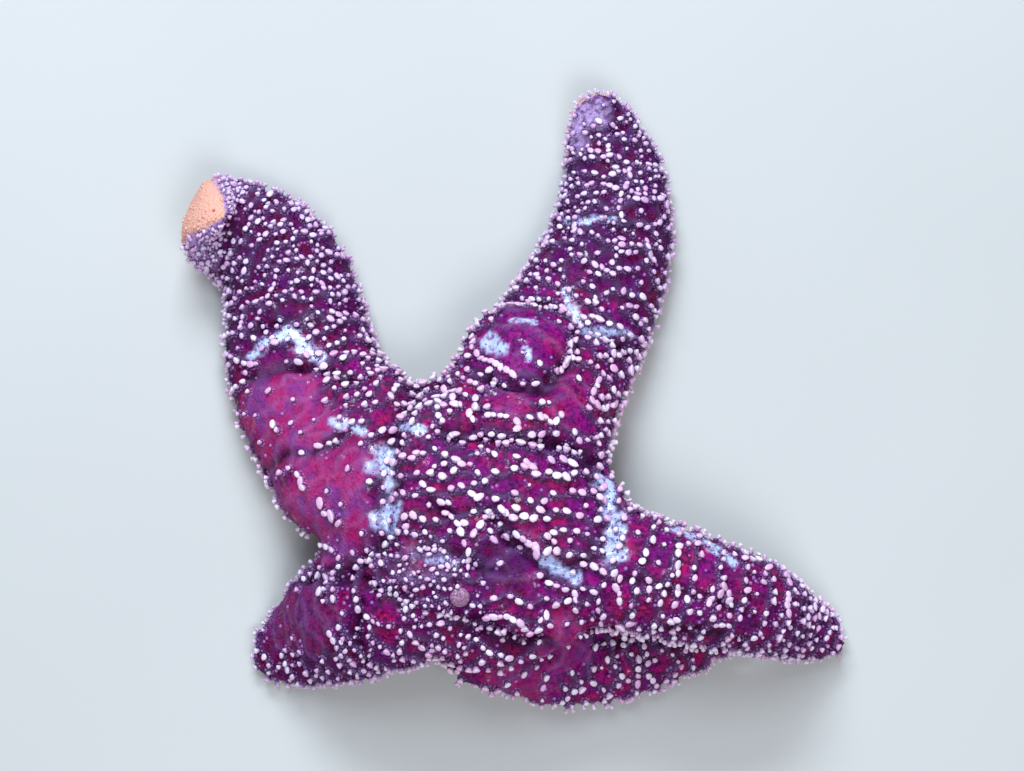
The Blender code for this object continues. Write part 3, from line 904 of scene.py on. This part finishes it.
def tube_feet(skin):
    """Four rows of feet in each furrow, which reach to the floor where it is near."""
    chance = skin.chance
    for number, arm in enumerate(ARMS):
        end = furrow_end(arm) * arm.length
        for share in shares_along(arm, FIRST_FOOT, end, lambda share: FOOT_GAP * (1 - 0.35 * share)):
            core, ahead, up, left = skin.station_at(number, share)
            for row, offset in enumerate(FOOT_ROWS):
                side = offset * furrow_half_width(arm, share) * (1 - 0.3 * share)
                shift = ahead * (FOOT_GAP * (0.5 * (row % 2) + chance.uniform(-0.15, 0.15)))
                for place, root in skin.met(core + left * side + shift, -up):
                    aim = -up + left * (offset * 0.5 + chance.normal(0, 0.12)) + ahead * chance.normal(0, 0.2)
                    aim = unit(aim)
                    curled = up[2] < 0.6
                    longest = FOOT_REACH[0] * 1.6 if curled else FOOT_REACH[1] * chance.uniform(0.7, 1)
                    to_floor = (place.z - FOOT_CLEARANCE) / max(-aim[2], 0.25)
                    girth = FOOT_GIRTH * (1 - 0.4 * share) * chance.uniform(0.85, 1.15)
                    yield skin.thing(root, aim, girth, min(max(to_floor, FOOT_REACH[0]), longest), place)


def underside_spines(skin):
    """Slender spines beside the furrows, and sparse rows of blunt ones on the way to the arm's edge."""
    chance = skin.chance
    for (number, arm), side, row in product(enumerate(ARMS), (-1, 1), UNDER_ROWS):
        end = 0.97 if row.fraction > 0.6 and arm.curl < ROLLED else furrow_end(arm)
        inset = 0.5 * MM if row.lean < 0 else 0

        def gap(share):
            return row.gap * (1 - 0.3 * share) * chance.uniform(0.9, 1.1)

        for share in shares_along(arm, 0.1 * arm.length, end * arm.length, gap):
            inner = furrow_half_width(arm, share) * 1.04 + inset
            outer = half_width(arm, share) - COAT_DEPTH
            offset = side * (inner + (outer - inner) * row.fraction)
            core, _, up, left = skin.station_at(number, share)
            for _, root in skin.met(core + left * offset - up * BELOW, up):
                near = abs(skin.side[root] - offset) < UNDER_STRAY and skin.height[root] < 0
                if near and skin.arm[root] == number:
                    aim = skin.normals[root] - skin.up[root] * 0.6 - skin.left[root] * side * row.lean
                    aim = unit(aim + chance.normal(0, 0.08, 3))
                    size = chance.uniform(0.85, 1.15) * (1 - 0.3 * share)
                    yield skin.thing(root, aim, row.girth * size, row.height * size)


def mouth_spines(skin):
    """Spines in a ring round the mouth, in five groups, which lean in over its edge."""
    girth, longest = MOUTH_SPINE
    for arm, spread in product(ARMS, (-26, -16, -6, 6, 16, 26)):
        turn = math.radians(arm.bearings[0] + CORNER) + math.radians(spread)
        outward = Vector((math.cos(turn), math.sin(turn)))
        below = skin.middle + outward * skin.chance.uniform(*MOUTH_REACH) * MM
        for place, root in skin.met((*below, 0), UP):
            aim = unit(np.array((-outward.x * 0.9, -outward.y * 0.9, -1.0)))
            yield skin.thing(root, aim, girth, longest * skin.chance.uniform(0.8, 1.1), place)


def eye_spots(skin):
    """The red eye spot at the end of each arm, under its tip."""
    for number in range(len(ARMS)):
        core, ahead, up, _ = skin.station_at(number, EYE_SHARE)
        aim = ahead - 0.25 * up
        for place, root in skin.met(core, aim):
            yield skin.thing(root, aim, *EYE, place)


# --- Shapes that are repeated, one unit wide and tall ---

SIDES = 8
SPINE_LUMPS = 0.07
PATCH = 0.003  # a shape's share of the width of the baking map
# radius, height
SPINE_OUTLINE = (
    (0.70, -0.35), (0.70, 0.05), (0.66, 0.38), (0.84, 0.62),
    (0.97, 0.80), (0.84, 0.96), (0.45, 1.03), (0, 1.02),
)
FOOT_OUTLINE = (
    (1, -0.1), (0.85, 0.2), (0.72, 0.55), (0.7, 0.82),
    (0.95, 0.9), (1.35, 0.95), (1.3, 0.99), (0.8, 1.0), (0, 0.97),
)


def turned_shape(name, outline, lumps=0.0):
    """A closed turned shape, a little lumpy."""
    mesh = bmesh.new()
    rings = []
    for radius, height in outline:
        ring = []
        for step in range(SIDES if radius else 1):
            turn = 2 * math.pi * step / SIDES
            out = radius * (1 + lumps * (math.cos(2 * turn + 1) + 0.8 * math.cos(3 * turn)))
            ring.append(mesh.verts.new((out * math.cos(turn), out * math.sin(turn), height)))
        rings.append(ring)
    mesh.faces.new(rings[0][::-1])
    for low, high in zip(rings, rings[1:]):
        band(mesh, low, high)
    return shape_object(name, mesh)


def bead_shape(name):
    mesh = bmesh.new()
    bmesh.ops.create_icosphere(mesh, subdivisions=1, radius=1)
    return shape_object(name, mesh)


def shape_object(name, mesh):
    """A smooth shape with how far up each point is, and its patch of the baking map."""
    reach = mesh.verts.layers.float.new("reach")
    spot = mesh.loops.layers.uv.new("OFBake")
    widest = max(abs(value) for vert in mesh.verts for value in vert.co[:2])
    for vert in mesh.verts:
        vert[reach] = vert.co.z
    for face in mesh.faces:
        face.smooth = True
        for loop in face.loops:
            loop[spot].uv = loop.vert.co.xy / widest * PATCH / 2
    bmesh.ops.recalc_face_normals(mesh, faces=mesh.faces[:])
    return new_object(name, mesh_from(name, mesh))


# --- Setting the shapes out ---

MARKINGS = ("oral", "taut", "rosy", "folded", "wet", "pale", "inland", "dusk")
FLOOR_CLEARANCE = 0.05 * MM
UNWRAP_SCALE = 2.7  # share of the map for each metre of skin
UNWRAP_MARGIN = 0.02
UNWRAP_EDGE = 0.004
STRIP = 0.2  # share of the map's height for each arm


class Nodes:
    """A node tree being put together."""

    def __init__(self, tree):
        self.tree = tree

    def add(self, kind, output, inputs, **settings):
        """A new node's output. Each input is a value, a colour, or the output of another node."""
        node = self.tree.nodes.new(kind)
        for name, value in settings.items():
            setattr(node, name, value)
        for name, source in inputs.items():
            self.put(source, node.inputs[name])
        return node.outputs[output]

    def put(self, source, socket):
        if isinstance(source, bpy.types.NodeSocket):
            self.tree.links.new(source, socket)
        else:
            socket.default_value = (*source, 1) if isinstance(source, tuple) else source

    def product(self, first, second):
        return self.add("ShaderNodeMath", 0, {0: first, 1: second}, operation="MULTIPLY")


def scattering_tree(shape, finish):
    """Sets a copy of a shape at each point, along its aim, as wide as its girth and as tall as its height."""
    tree = bpy.data.node_groups.new("set out " + shape.name, "GeometryNodeTree")
    tree.is_modifier = True
    tree.interface.new_socket("Points", in_out="INPUT", socket_type="NodeSocketGeometry")
    size = tree.interface.new_socket("Size", in_out="INPUT", socket_type="NodeSocketFloat")
    size.default_value = 1.0
    tree.interface.new_socket("Geometry", in_out="OUTPUT", socket_type="NodeSocketGeometry")
    nodes = Nodes(tree)
    add, product_of = nodes.add, nodes.product
    given = tree.nodes.new("NodeGroupInput").outputs

    def stored(name, kind="FLOAT"):
        return add("GeometryNodeInputNamedAttribute", "Attribute", {"Name": name}, data_type=kind)

    def aligned(towards, axis, pivot, **turned):
        inputs = {"Vector": stored(towards, "FLOAT_VECTOR"), **turned}
        return add("FunctionNodeAlignRotationToVector", "Rotation", inputs, axis=axis, pivot_axis=pivot)

    form = add("GeometryNodeObjectInfo", "Geometry", {"Object": shape})
    turned = aligned("lie", "X", "Z", Rotation=aligned("aim", "Z", "AUTO"))
    girth = product_of(stored("girth"), given["Size"])
    wide, tall = product_of(girth, stored("broad")), product_of(stored("height"), given["Size"])
    scale = add("ShaderNodeCombineXYZ", "Vector", {"X": wide, "Y": girth, "Z": tall})
    copies = {"Points": given["Points"], "Instance": form, "Rotation": turned, "Scale": scale}
    place = add("GeometryNodeInstanceOnPoints", "Instances", copies)
    real = add("GeometryNodeRealizeInstances", "Geometry", {"Geometry": place})
    coloured = add("GeometryNodeSetMaterial", "Geometry", {"Geometry": real, "Material": finish})
    tree.links.new(coloured, tree.nodes.new("NodeGroupOutput").inputs["Geometry"])
    return tree, size.identifier


def unwrapped(skin, root):
    """A skin point's place on the unwrapped skin: a strip for each arm's back and one for its underside."""
    arm, angle = skin.arm[root], skin.angle[root]
    under = abs(angle) > MARGIN_ANGLE
    turn = math.copysign(180 - abs(angle), angle) if under else angle
    across = math.radians(turn) * half_width(ARMS[arm], min(skin.share[root], 0.9))
    u = (0.5 if under else 0.0) + UNWRAP_MARGIN + skin.along[root] * UNWRAP_SCALE
    v = (arm + 0.5) * STRIP + across * UNWRAP_SCALE * 0.9
    low, high = STRIP * arm + UNWRAP_EDGE, STRIP * (arm + 1) - UNWRAP_EDGE
    return min(max(u, UNWRAP_EDGE), 1 - UNWRAP_EDGE), min(max(v, low), high), 0


def points_mesh(skin, things):
    """A mesh of loose points that carry what each copy needs."""
    data = bpy.data.meshes.new("points")
    data.vertices.add(len(things))
    data.vertices.foreach_set("co", np.array([each.place for each in things]).ravel())
    roots = [each.root for each in things]
    for name in ("girth", "height", "broad", "tint", "aim", "lie"):
        carry(data, name, [getattr(each, name) for each in things])
    for name in MARKINGS:
        carry(data, name, getattr(skin, name)[roots])
    carry(data, "root", [unwrapped(skin, root) for root in roots])
    return data


def lay_patches(data):
    """Moves each copy's patch of the baking map to its root's place, and keeps all above the floor."""
    patches = data.uv_layers["OFBake"].data
    corners = column(data.loops, "vertex_index", 1, int)
    roots = column(data.attributes["root"].data, "vector", 3)
    patches.foreach_set("uv", (column(patches, "uv", 2) + roots[corners, :2]).ravel())
    places = column(data.vertices, "co", 3)
    places[:, 2] = np.maximum(places[:, 2], FLOOR_CLEARANCE)
    data.vertices.foreach_set("co", places.ravel())
    for spare in ("root", "aim", "lie", "girth", "height", "broad"):
        data.attributes.remove(data.attributes[spare])


def set_out(name, skin, things, tree_and_size):
    """The copies as plain mesh pieces, one for each arm."""
    tree, size = tree_and_size
    things = list(things)
    for number, arm in enumerate(ARMS):
        mine = [each for each in things if skin.arm[each.root] == number]
        if not mine:
            continue
        holder = new_object("points", points_mesh(skin, mine))
        setting = holder.modifiers.new("set out", "NODES")
        setting.node_group = tree
        setting[size] = 1.0
        data = evaluated_mesh(holder)
        lay_patches(data)
        data.name = f"{name}_{arm.name}"
        finished(new_object(data.name, data))


# --- The sieve plate ---

PLATE_DOME = 0.95 * MM
PLATE_RINGS = 22
PLATE_SPOKES = 96
PLATE_GROOVES = 17
PLATE_GROOVE_DEPTH = 0.16 * MM
PLATE_DEPTH = 1.4 * MM
PLATE_SIDE_FACE = 0.9 * MM * MM  # more than the area of a face on its rim


def sieve_plate(finish):
    """The madreporite: a low dome cut by wandering grooves that fan out from its middle."""
    low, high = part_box("madreporite")
    middle = (low + high) / 2
    solid = joined_solid("madreporite")
    axis = Vector((0, 0, 0))
    for face in solid.faces:
        axis += face.normal * max(face.calc_area() - PLATE_SIDE_FACE, 0) * (1 if face.normal.z > 0 else -1)
    solid.free()
    axis.normalize()
    side = axis.orthogonal().normalized()
    other = axis.cross(side)
    mesh = bmesh.new()
    rings = []
    for ring_number in range(PLATE_RINGS + 1):
        share = ring_number / PLATE_RINGS
        ring = []
        for spoke in range(PLATE_SPOKES):
            turn = 2 * math.pi * spoke / PLATE_SPOKES
            wander = 0.5 * math.sin(3 * turn + 5 * share) + 0.35 * math.sin(7 * turn - 9 * share)
            winding = PLATE_GROOVES * turn + wander * 2.2 + 6 * share * math.sin(2 * turn)
            groove = 0.5 + 0.5 * math.cos(winding)
            height = PLATE_DOME * (1 - share**3) - PLATE_GROOVE_DEPTH * groove * min(1, 3 * share)
            out = side * math.cos(turn) + other * math.sin(turn)
            ring.append(mesh.verts.new(middle + out * PLATE_RADIUS * share + axis * height))
        rings.append(ring)
    rings.append([mesh.verts.new(vert.co - axis * PLATE_DEPTH) for vert in rings[-1]])
    for inner, outer in zip(rings, rings[1:]):
        band(mesh, inner, outer)
    mesh.faces.new(rings[-1])
    bmesh.ops.remove_doubles(mesh, verts=mesh.verts[:], dist=1e-6)
    bmesh.ops.recalc_face_normals(mesh, faces=mesh.faces[:])
    data = mesh_from("sieve_plate", mesh)
    data.shade_smooth()
    data.materials.append(finish)
    plate = new_object("sieve_plate", data)
    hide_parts("madreporite")
    finished(plate)


# --- Finishes ---

CRIMSON = (0.40, 0.004, 0.095)
MAGENTA = (0.28, 0.004, 0.19)
PURPLE = (0.085, 0.003, 0.13)
PLUM = (0.020, 0.0005, 0.020)
DUSKY = (0.055, 0.004, 0.075)
WINE = (0.095, 0.002, 0.032)
ROSE = (0.42, 0.030, 0.17)
LILAC = (0.22, 0.040, 0.24)
LAVENDER = (0.42, 0.24, 0.60)
PALE_LAVENDER = (0.62, 0.45, 0.82)
# a painted sky highlight, mixed into the skin's colour on the wet places
PAINTED_SKY_HIGHLIGHT = (0.52, 0.62, 0.95)
PEACH = (0.78, 0.41, 0.32)
SPINE_WHITE = (0.88, 0.76, 0.90)
SPINE_PINK = (0.76, 0.40, 0.66)
FOOT_CREAM = (0.80, 0.62, 0.42)
FOOT_PINK = (0.84, 0.70, 0.58)
UNDER_PINK = (0.80, 0.62, 0.66)
UNDER_ORANGE = (0.85, 0.66, 0.52)
PLATE_DARK = (0.20, 0.06, 0.16)
PLATE_PALE = (0.42, 0.22, 0.36)
EYE_RED = (0.55, 0.02, 0.01)
EYE_ORANGE = (0.75, 0.10, 0.03)
FLOOR_DARK = (0.50, 0.50, 0.49)
FLOOR_PALE = (0.54, 0.54, 0.53)
SKY = (0.75, 0.82, 0.92)


class Finish(Nodes):
    """A procedural material being put together. What is the same all over is set at the start."""

    def __init__(self, name, **values):
        self.material = bpy.data.materials.new(name)
        self.material.use_nodes = True
        super().__init__(self.material.node_tree)
        self.shader = self.tree.nodes["Principled BSDF"].inputs
        self.places = self.add("ShaderNodeTexCoord", "Object", {})
        for socket, value in values.items():
            self.shader[socket.replace("_", " ")].default_value = value

    def put(self, source, socket):
        """As in any tree, and a marking is given by its name."""
        if isinstance(source, str):
            source = self.add("ShaderNodeAttribute", "Fac", {}, attribute_name=source)
        super().put(source, socket)

    def clouds(self, size, detail=3.0):
        """Noise with patches about as large as size."""
        inputs = {"Vector": self.places, "Scale": 1 / size, "Detail": detail, "Roughness": 0.55}
        return self.add("ShaderNodeTexNoise", "Fac", inputs)

    def ramp(self, source, *stops):
        """A value or colour for each of a few places on the source's scale."""
        output = self.add("ShaderNodeValToRGB", "Color", {"Fac": source})
        steps = output.node.color_ramp.elements
        while len(steps) < len(stops):
            steps.new(0.5)
        for step, (place, colour) in zip(steps, stops):
            step.position = place
            step.color = (*colour, 1) if isinstance(colour, tuple) else (colour,) * 3 + (1,)
        return output

    def mixed(self, share, first, second):
        """first where share is 0 and second where it is 1."""
        return self.add("ShaderNodeMix", 2, {0: share, 6: first, 7: second}, data_type="RGBA")

    def bump(self, source, height, **before):
        return self.add("ShaderNodeBump", "Normal", {"Height": source, "Distance": height, **before})

    def done(self, colour, **joined):
        """The finished material, with its colour and anything else that isn't the same all over."""
        for socket, source in {"Base_Color": colour, **joined}.items():
            self.put(source, self.shader[socket.replace("_", " ")])
        return self.material


def skin_colour(finish):
    """The skin's markings, the same on the skin and on the grains and pincers that cover it. Among them are
    painted shade beside the ridges and in the folds, partly painted shade towards the arms' tips, and a faint
    painted sky reflection on the disc.
    """
    clouds, scaled, mixed, ramp = finish.clouds, finish.product, finish.mixed, finish.ramp
    base = ramp(clouds(24 * MM, 2.0), (0.40, MAGENTA), (0.50, CRIMSON), (0.62, MAGENTA))
    # darker towards the arms' tips and at the dark places, partly the skin's own tone and partly painted
    # shade
    base = mixed("dusk", base, ramp(clouds(11 * MM, 2.0), (0.46, DUSKY), (0.54, WINE)))
    base = mixed(ramp(clouds(3.2 * MM, 4.0), (0.42, 0.6), (0.56, 0.0)), base, PURPLE)
    rosy = mixed(ramp(clouds(5.5 * MM, 4.0), (0.43, 0.0), (0.57, 1.0)), ROSE, LILAC)
    rosy = mixed(ramp(clouds(9 * MM, 2.0), (0.50, 0.0), (0.60, 0.7)), rosy, CRIMSON)
    base = mixed(scaled("rosy", 0.9), base, rosy)
    # painted shade: the skin is darkened beside the net's ridges, less so on the taut places
    painted_shade_beside_ridge = ramp("inland", (0.0, 0.5), (0.22, 0.92), (0.42, 0.78), (0.78, 0.0))
    base = mixed(scaled(painted_shade_beside_ridge, ramp("taut", (0.0, 1.0), (0.7, 0.12))), base, PLUM)
    grit = ramp(clouds(1.2 * MM, 2.0), (0.36, 0.75), (0.54, 0.0))
    base = mixed(scaled(grit, ramp("rosy", (0.0, 1.0), (1.0, 0.4))), base, PLUM)
    # painted shade: the skin is darkened along the folds' creases
    base = mixed(scaled("folded", 0.9), base, PLUM)
    mottled = ramp(clouds(2.2 * MM, 3.0), (0.38, 0.15), (0.58, 1.0))
    # pale lavender places: pale skin, and on the disc a faint painted sky reflection
    base = mixed(scaled("pale", mottled), base, PALE_LAVENDER)
    fringed = mixed(ramp("oral", (0.0, 0.0), (0.35, 0.8), (1.0, 0.0)), base, PALE_LAVENDER)
    return mixed(ramp("oral", (0.35, 0.0), (0.9, 1.0)), fringed, PEACH)


def skin_finish():
    finish = Finish(
        "wet purple skin", Roughness=0.55, Coat_Roughness=0.13, Coat_IOR=1.8, Specular_IOR_Level=0.05
    )
    clouds, scaled, mixed, ramp = finish.clouds, finish.product, finish.mixed, finish.ramp
    base = mixed(scaled("ridge", 0.16), skin_colour(finish), LAVENDER)
    # blotches of the painted sky highlight on the wet places
    painted_highlight_blotches = ramp(clouds(1.6 * MM, 4.0), (0.34, 0.15), (0.54, 1.0))
    glints = ramp(clouds(4 * MM, 3.0), (0.58, 0.01), (0.68, 0.5))
    grain = {"Vector": finish.places, "Scale": 1 / (0.75 * MM)}
    cells = finish.add("ShaderNodeTexVoronoi", "Distance", grain)
    grained = finish.bump(cells, -0.22 * MM)
    # the wet places are painted pale blue, a painted sky highlight, besides their glossier coat
    return finish.done(
        mixed(scaled("wet", painted_highlight_blotches), base, PAINTED_SKY_HIGHLIGHT),
        Coat_Weight=mixed(ramp("wet", (0.0, 0.0), (0.6, 1.0)), glints, (0.5, 0.5, 0.5)),
        Normal=finish.bump(clouds(1.6 * MM, 4.0), 0.35 * MM, Normal=grained),
        Coat_Normal=finish.bump(clouds(3.0 * MM, 2.0), 0.22 * MM),
    )


def spine_finish():
    finish = Finish("pale spines", Roughness=0.5, Coat_Weight=0.6, Coat_Roughness=0.15)
    tops = finish.mixed("tint", SPINE_WHITE, SPINE_PINK)
    # painted shade: the spines are darker towards the arms' tips
    tops = finish.mixed(finish.product("dusk", 0.3), tops, LAVENDER)
    colour = finish.mixed(finish.ramp("reach", (0.1, 0.0), (0.5, 1.0)), PURPLE, tops)
    return finish.done(colour, Normal=finish.bump(finish.clouds(0.35 * MM, 4.0), 0.14 * MM))


def pincer_finish():
    finish = Finish(
        "pincers and grains", Roughness=0.5, Coat_Weight=0.3, Coat_Roughness=0.1, Specular_IOR_Level=0.06,
        Coat_IOR=1.35,
    )
    pale = finish.ramp("tint", (0.0, 0.02), (0.4, 0.12), (1.0, 0.6))
    on_back = finish.ramp("oral", (0.5, 1.0), (0.8, 0.0))
    return finish.done(finish.mixed(finish.product(pale, on_back), skin_colour(finish), LAVENDER))


def foot_finish():
    finish = Finish(
        "tube feet", Roughness=0.35, Coat_Weight=1.0, Coat_Roughness=0.1, Subsurface_Weight=0.15,
        Subsurface_Radius=(1.2 * MM, 0.7 * MM, 0.4 * MM), Subsurface_Scale=1.0,
    )
    return finish.done(finish.mixed("tint", FOOT_CREAM, FOOT_PINK))


def under_spine_finish():
    finish = Finish("underside spines", Roughness=0.45, Coat_Weight=0.6, Coat_Roughness=0.15)
    tops = finish.mixed("tint", UNDER_PINK, UNDER_ORANGE)
    return finish.done(finish.mixed(finish.ramp("reach", (0.0, 0.0), (0.5, 1.0)), PEACH, tops))


def plate_finish():
    finish = Finish("sieve plate", Roughness=0.5, Coat_Weight=0.7, Coat_Roughness=0.15)
    colour = finish.ramp(finish.clouds(0.7 * MM), (0.35, PLATE_DARK), (0.65, PLATE_PALE))
    return finish.done(colour, Normal=finish.bump(finish.clouds(0.25 * MM), 0.06 * MM))


def eye_finish():
    finish = Finish("eye spots", Roughness=0.3, Coat_Weight=1.0, Coat_Roughness=0.08)
    return finish.done(finish.mixed(finish.clouds(0.6 * MM), EYE_RED, EYE_ORANGE))


def floor_finish():
    finish = Finish("floor", Roughness=0.7)
    return finish.done(finish.ramp(finish.clouds(0.3), (0.3, FLOOR_DARK), (0.7, FLOOR_PALE)))


# --- Putting it together ---

SOLE_EDGE = (112, 96)  # degrees from the back to the pale underside, along an arm and at its tip
SOLE_RISE = 24  # degrees that it comes up farther on a curled tip
VIEW_ELEVATION = 80
VIEW_DISTANCE = 0.8
LENS = 103
FLOOR_HALF_SIZE = 3
SKY_STRENGTH = 0.28
# name, place from the model's middle, width, height, power, colour
LIGHTS = (
    ("sky light", (-0.12, 0.68, 0.72), 0.5, 0.3, 9.5, (0.80, 0.90, 1.0)),
    ("top light", (-0.1, 0.3, 1.0), 0.45, 0.45, 4.0, (0.78, 0.89, 1.0)),
    ("front light", (0.15, -0.5, 0.86), 0.5, 0.4, 5.2, (0.92, 0.96, 1.0)),
)


def mark_sole(skin):
    """Marks the pale underside, which comes up farther round the arms' tips and farthest on a curled one."""
    on_roll = soft_step((skin.share - skin.by_arm(sole_start) + 0.05) / 0.08)
    edge = lerp(SOLE_EDGE, soft_step((skin.share - 0.7) / 0.2)) - SOLE_RISE * on_roll
    edge = edge + 8 * skin.waves(5 * MM, 31)
    skin.oral = soft_step((np.abs(skin.angle) - edge) / (14 + 26 * on_roll))
    round_sole = on_roll * soft_step((np.abs(skin.angle) - 45) / 25) * 0.7
    skin.pale = np.maximum(skin.pale, round_sole)


def mark_dark_tone_and_shade(skin):
    """Marks where the skin is darker towards the arms' tips, partly its own tone and partly painted shade,
    and where its spines stand in clumps.
    """
    start = skin.by_arm(lambda arm: arm.dusk_from)
    outer = soft_step((skin.share + 0.05 * skin.waves(10 * MM, 41) - start) / 0.25)
    plan, wander = skin.plan(), skin.waves(6 * MM, 22)
    skin.fine = strongest(plan, FINE_PLACES, wander)
    dark = strongest(plan, DARK_PLACES, wander)
    skin.dusk = np.maximum.reduce([skin.by_arm(lambda arm: arm.dusk) * outer, 0.65 * skin.fine, dark])
    drawn = np.maximum(skin.dusk - dark, 0.55) * soft_step((wander - 0.02) / 0.15)
    skin.clumped = np.maximum(skin.fine, drawn) * (1 - skin.taut)


def skin_piece(skin, finish):
    """The skin as one piece, with its markings."""
    data = bpy.data.meshes.new("skin")
    data.from_pydata(skin.points.tolist(), [], skin.faces.tolist())
    for name in MARKINGS + ("ridge",):
        carry(data, name, getattr(skin, name))
    data.shade_smooth()
    data.materials.append(finish)
    piece = new_object("skin", data)
    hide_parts(*[node for node in sorted(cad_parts) if node != "madreporite"])
    finished(piece)


def floor_piece():
    mesh = bmesh.new()
    bmesh.ops.create_grid(mesh, x_segments=1, y_segments=1, size=FLOOR_HALF_SIZE)
    data = mesh_from("floor", mesh)
    data.materials.append(floor_finish())
    new_object("floor", data)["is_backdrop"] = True


def soft_light(target, name, offset, width, height, power, colour):
    lamp = bpy.data.lights.new(name, "AREA")
    lamp.shape = "RECTANGLE"
    lamp.size, lamp.size_y = width, height
    lamp.energy = power
    lamp.color = colour
    stand = new_object(name, lamp)
    stand.location = target + Vector(offset)
    stand.rotation_euler = (target - stand.location).to_track_quat("-Z", "Y").to_euler()


def studio():
    """Floor, lights and the camera."""
    floor_piece()
    low, high = solids_box
    target = (Vector(low) + Vector(high)) / 2
    for light in LIGHTS:
        soft_light(target, *light)
    scene = bpy.context.scene
    scene.world = bpy.data.worlds.new("studio")
    scene.world.use_nodes = True
    background = scene.world.node_tree.nodes["Background"].inputs
    background["Color"].default_value = (*SKY, 1)
    background["Strength"].default_value = SKY_STRENGTH
    camera = new_object("camera", bpy.data.cameras.new("camera"))
    camera.data.lens = LENS
    camera.data.clip_start = 0.01
    tilt = math.radians(VIEW_ELEVATION)
    camera.location = target + Vector((0, -math.cos(tilt), math.sin(tilt))) * VIEW_DISTANCE
    camera.rotation_euler = (math.radians(90) - tilt, 0, 0)
    scene.camera = camera
    scene.view_settings.view_transform = "Standard"


def main():
    skin = Skin(disc_middle())
    fold_skin(skin)
    skin.settle()
    raise_net(skin, cell_middles(skin))
    mark_sole(skin)
    mark_dark_tone_and_shade(skin)
    skin.settle()
    skin_piece(skin, skin_finish())

    spine = turned_shape("spine shape", SPINE_OUTLINE, SPINE_LUMPS)
    foot = turned_shape("foot shape", FOOT_OUTLINE)
    bead = bead_shape("bead shape")
    standing = [*net_spines(skin, chain_roots(skin)), *margin_spines(skin)]
    set_out("spines", skin, standing, scattering_tree(spine, spine_finish()))
    pincers = scattering_tree(bead, pincer_finish())
    set_out("pincers", skin, wreaths(skin, standing), pincers)
    set_out("grains", skin, grains(skin), pincers)
    set_out("tube_feet", skin, tube_feet(skin), scattering_tree(foot, foot_finish()))
    below = [*underside_spines(skin), *mouth_spines(skin)]
    set_out("under_spines", skin, below, scattering_tree(spine, under_spine_finish()))
    set_out("eye_spot", skin, eye_spots(skin), scattering_tree(bead, eye_finish()))
    sieve_plate(plate_finish())
    for shape in (spine, foot, bead):
        bpy.data.objects.remove(shape)
    studio()


main()
boxes = {"solids": solids_box, "dressed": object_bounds()}
{name: [list(corner) for corner in box] for name, box in boxes.items()}
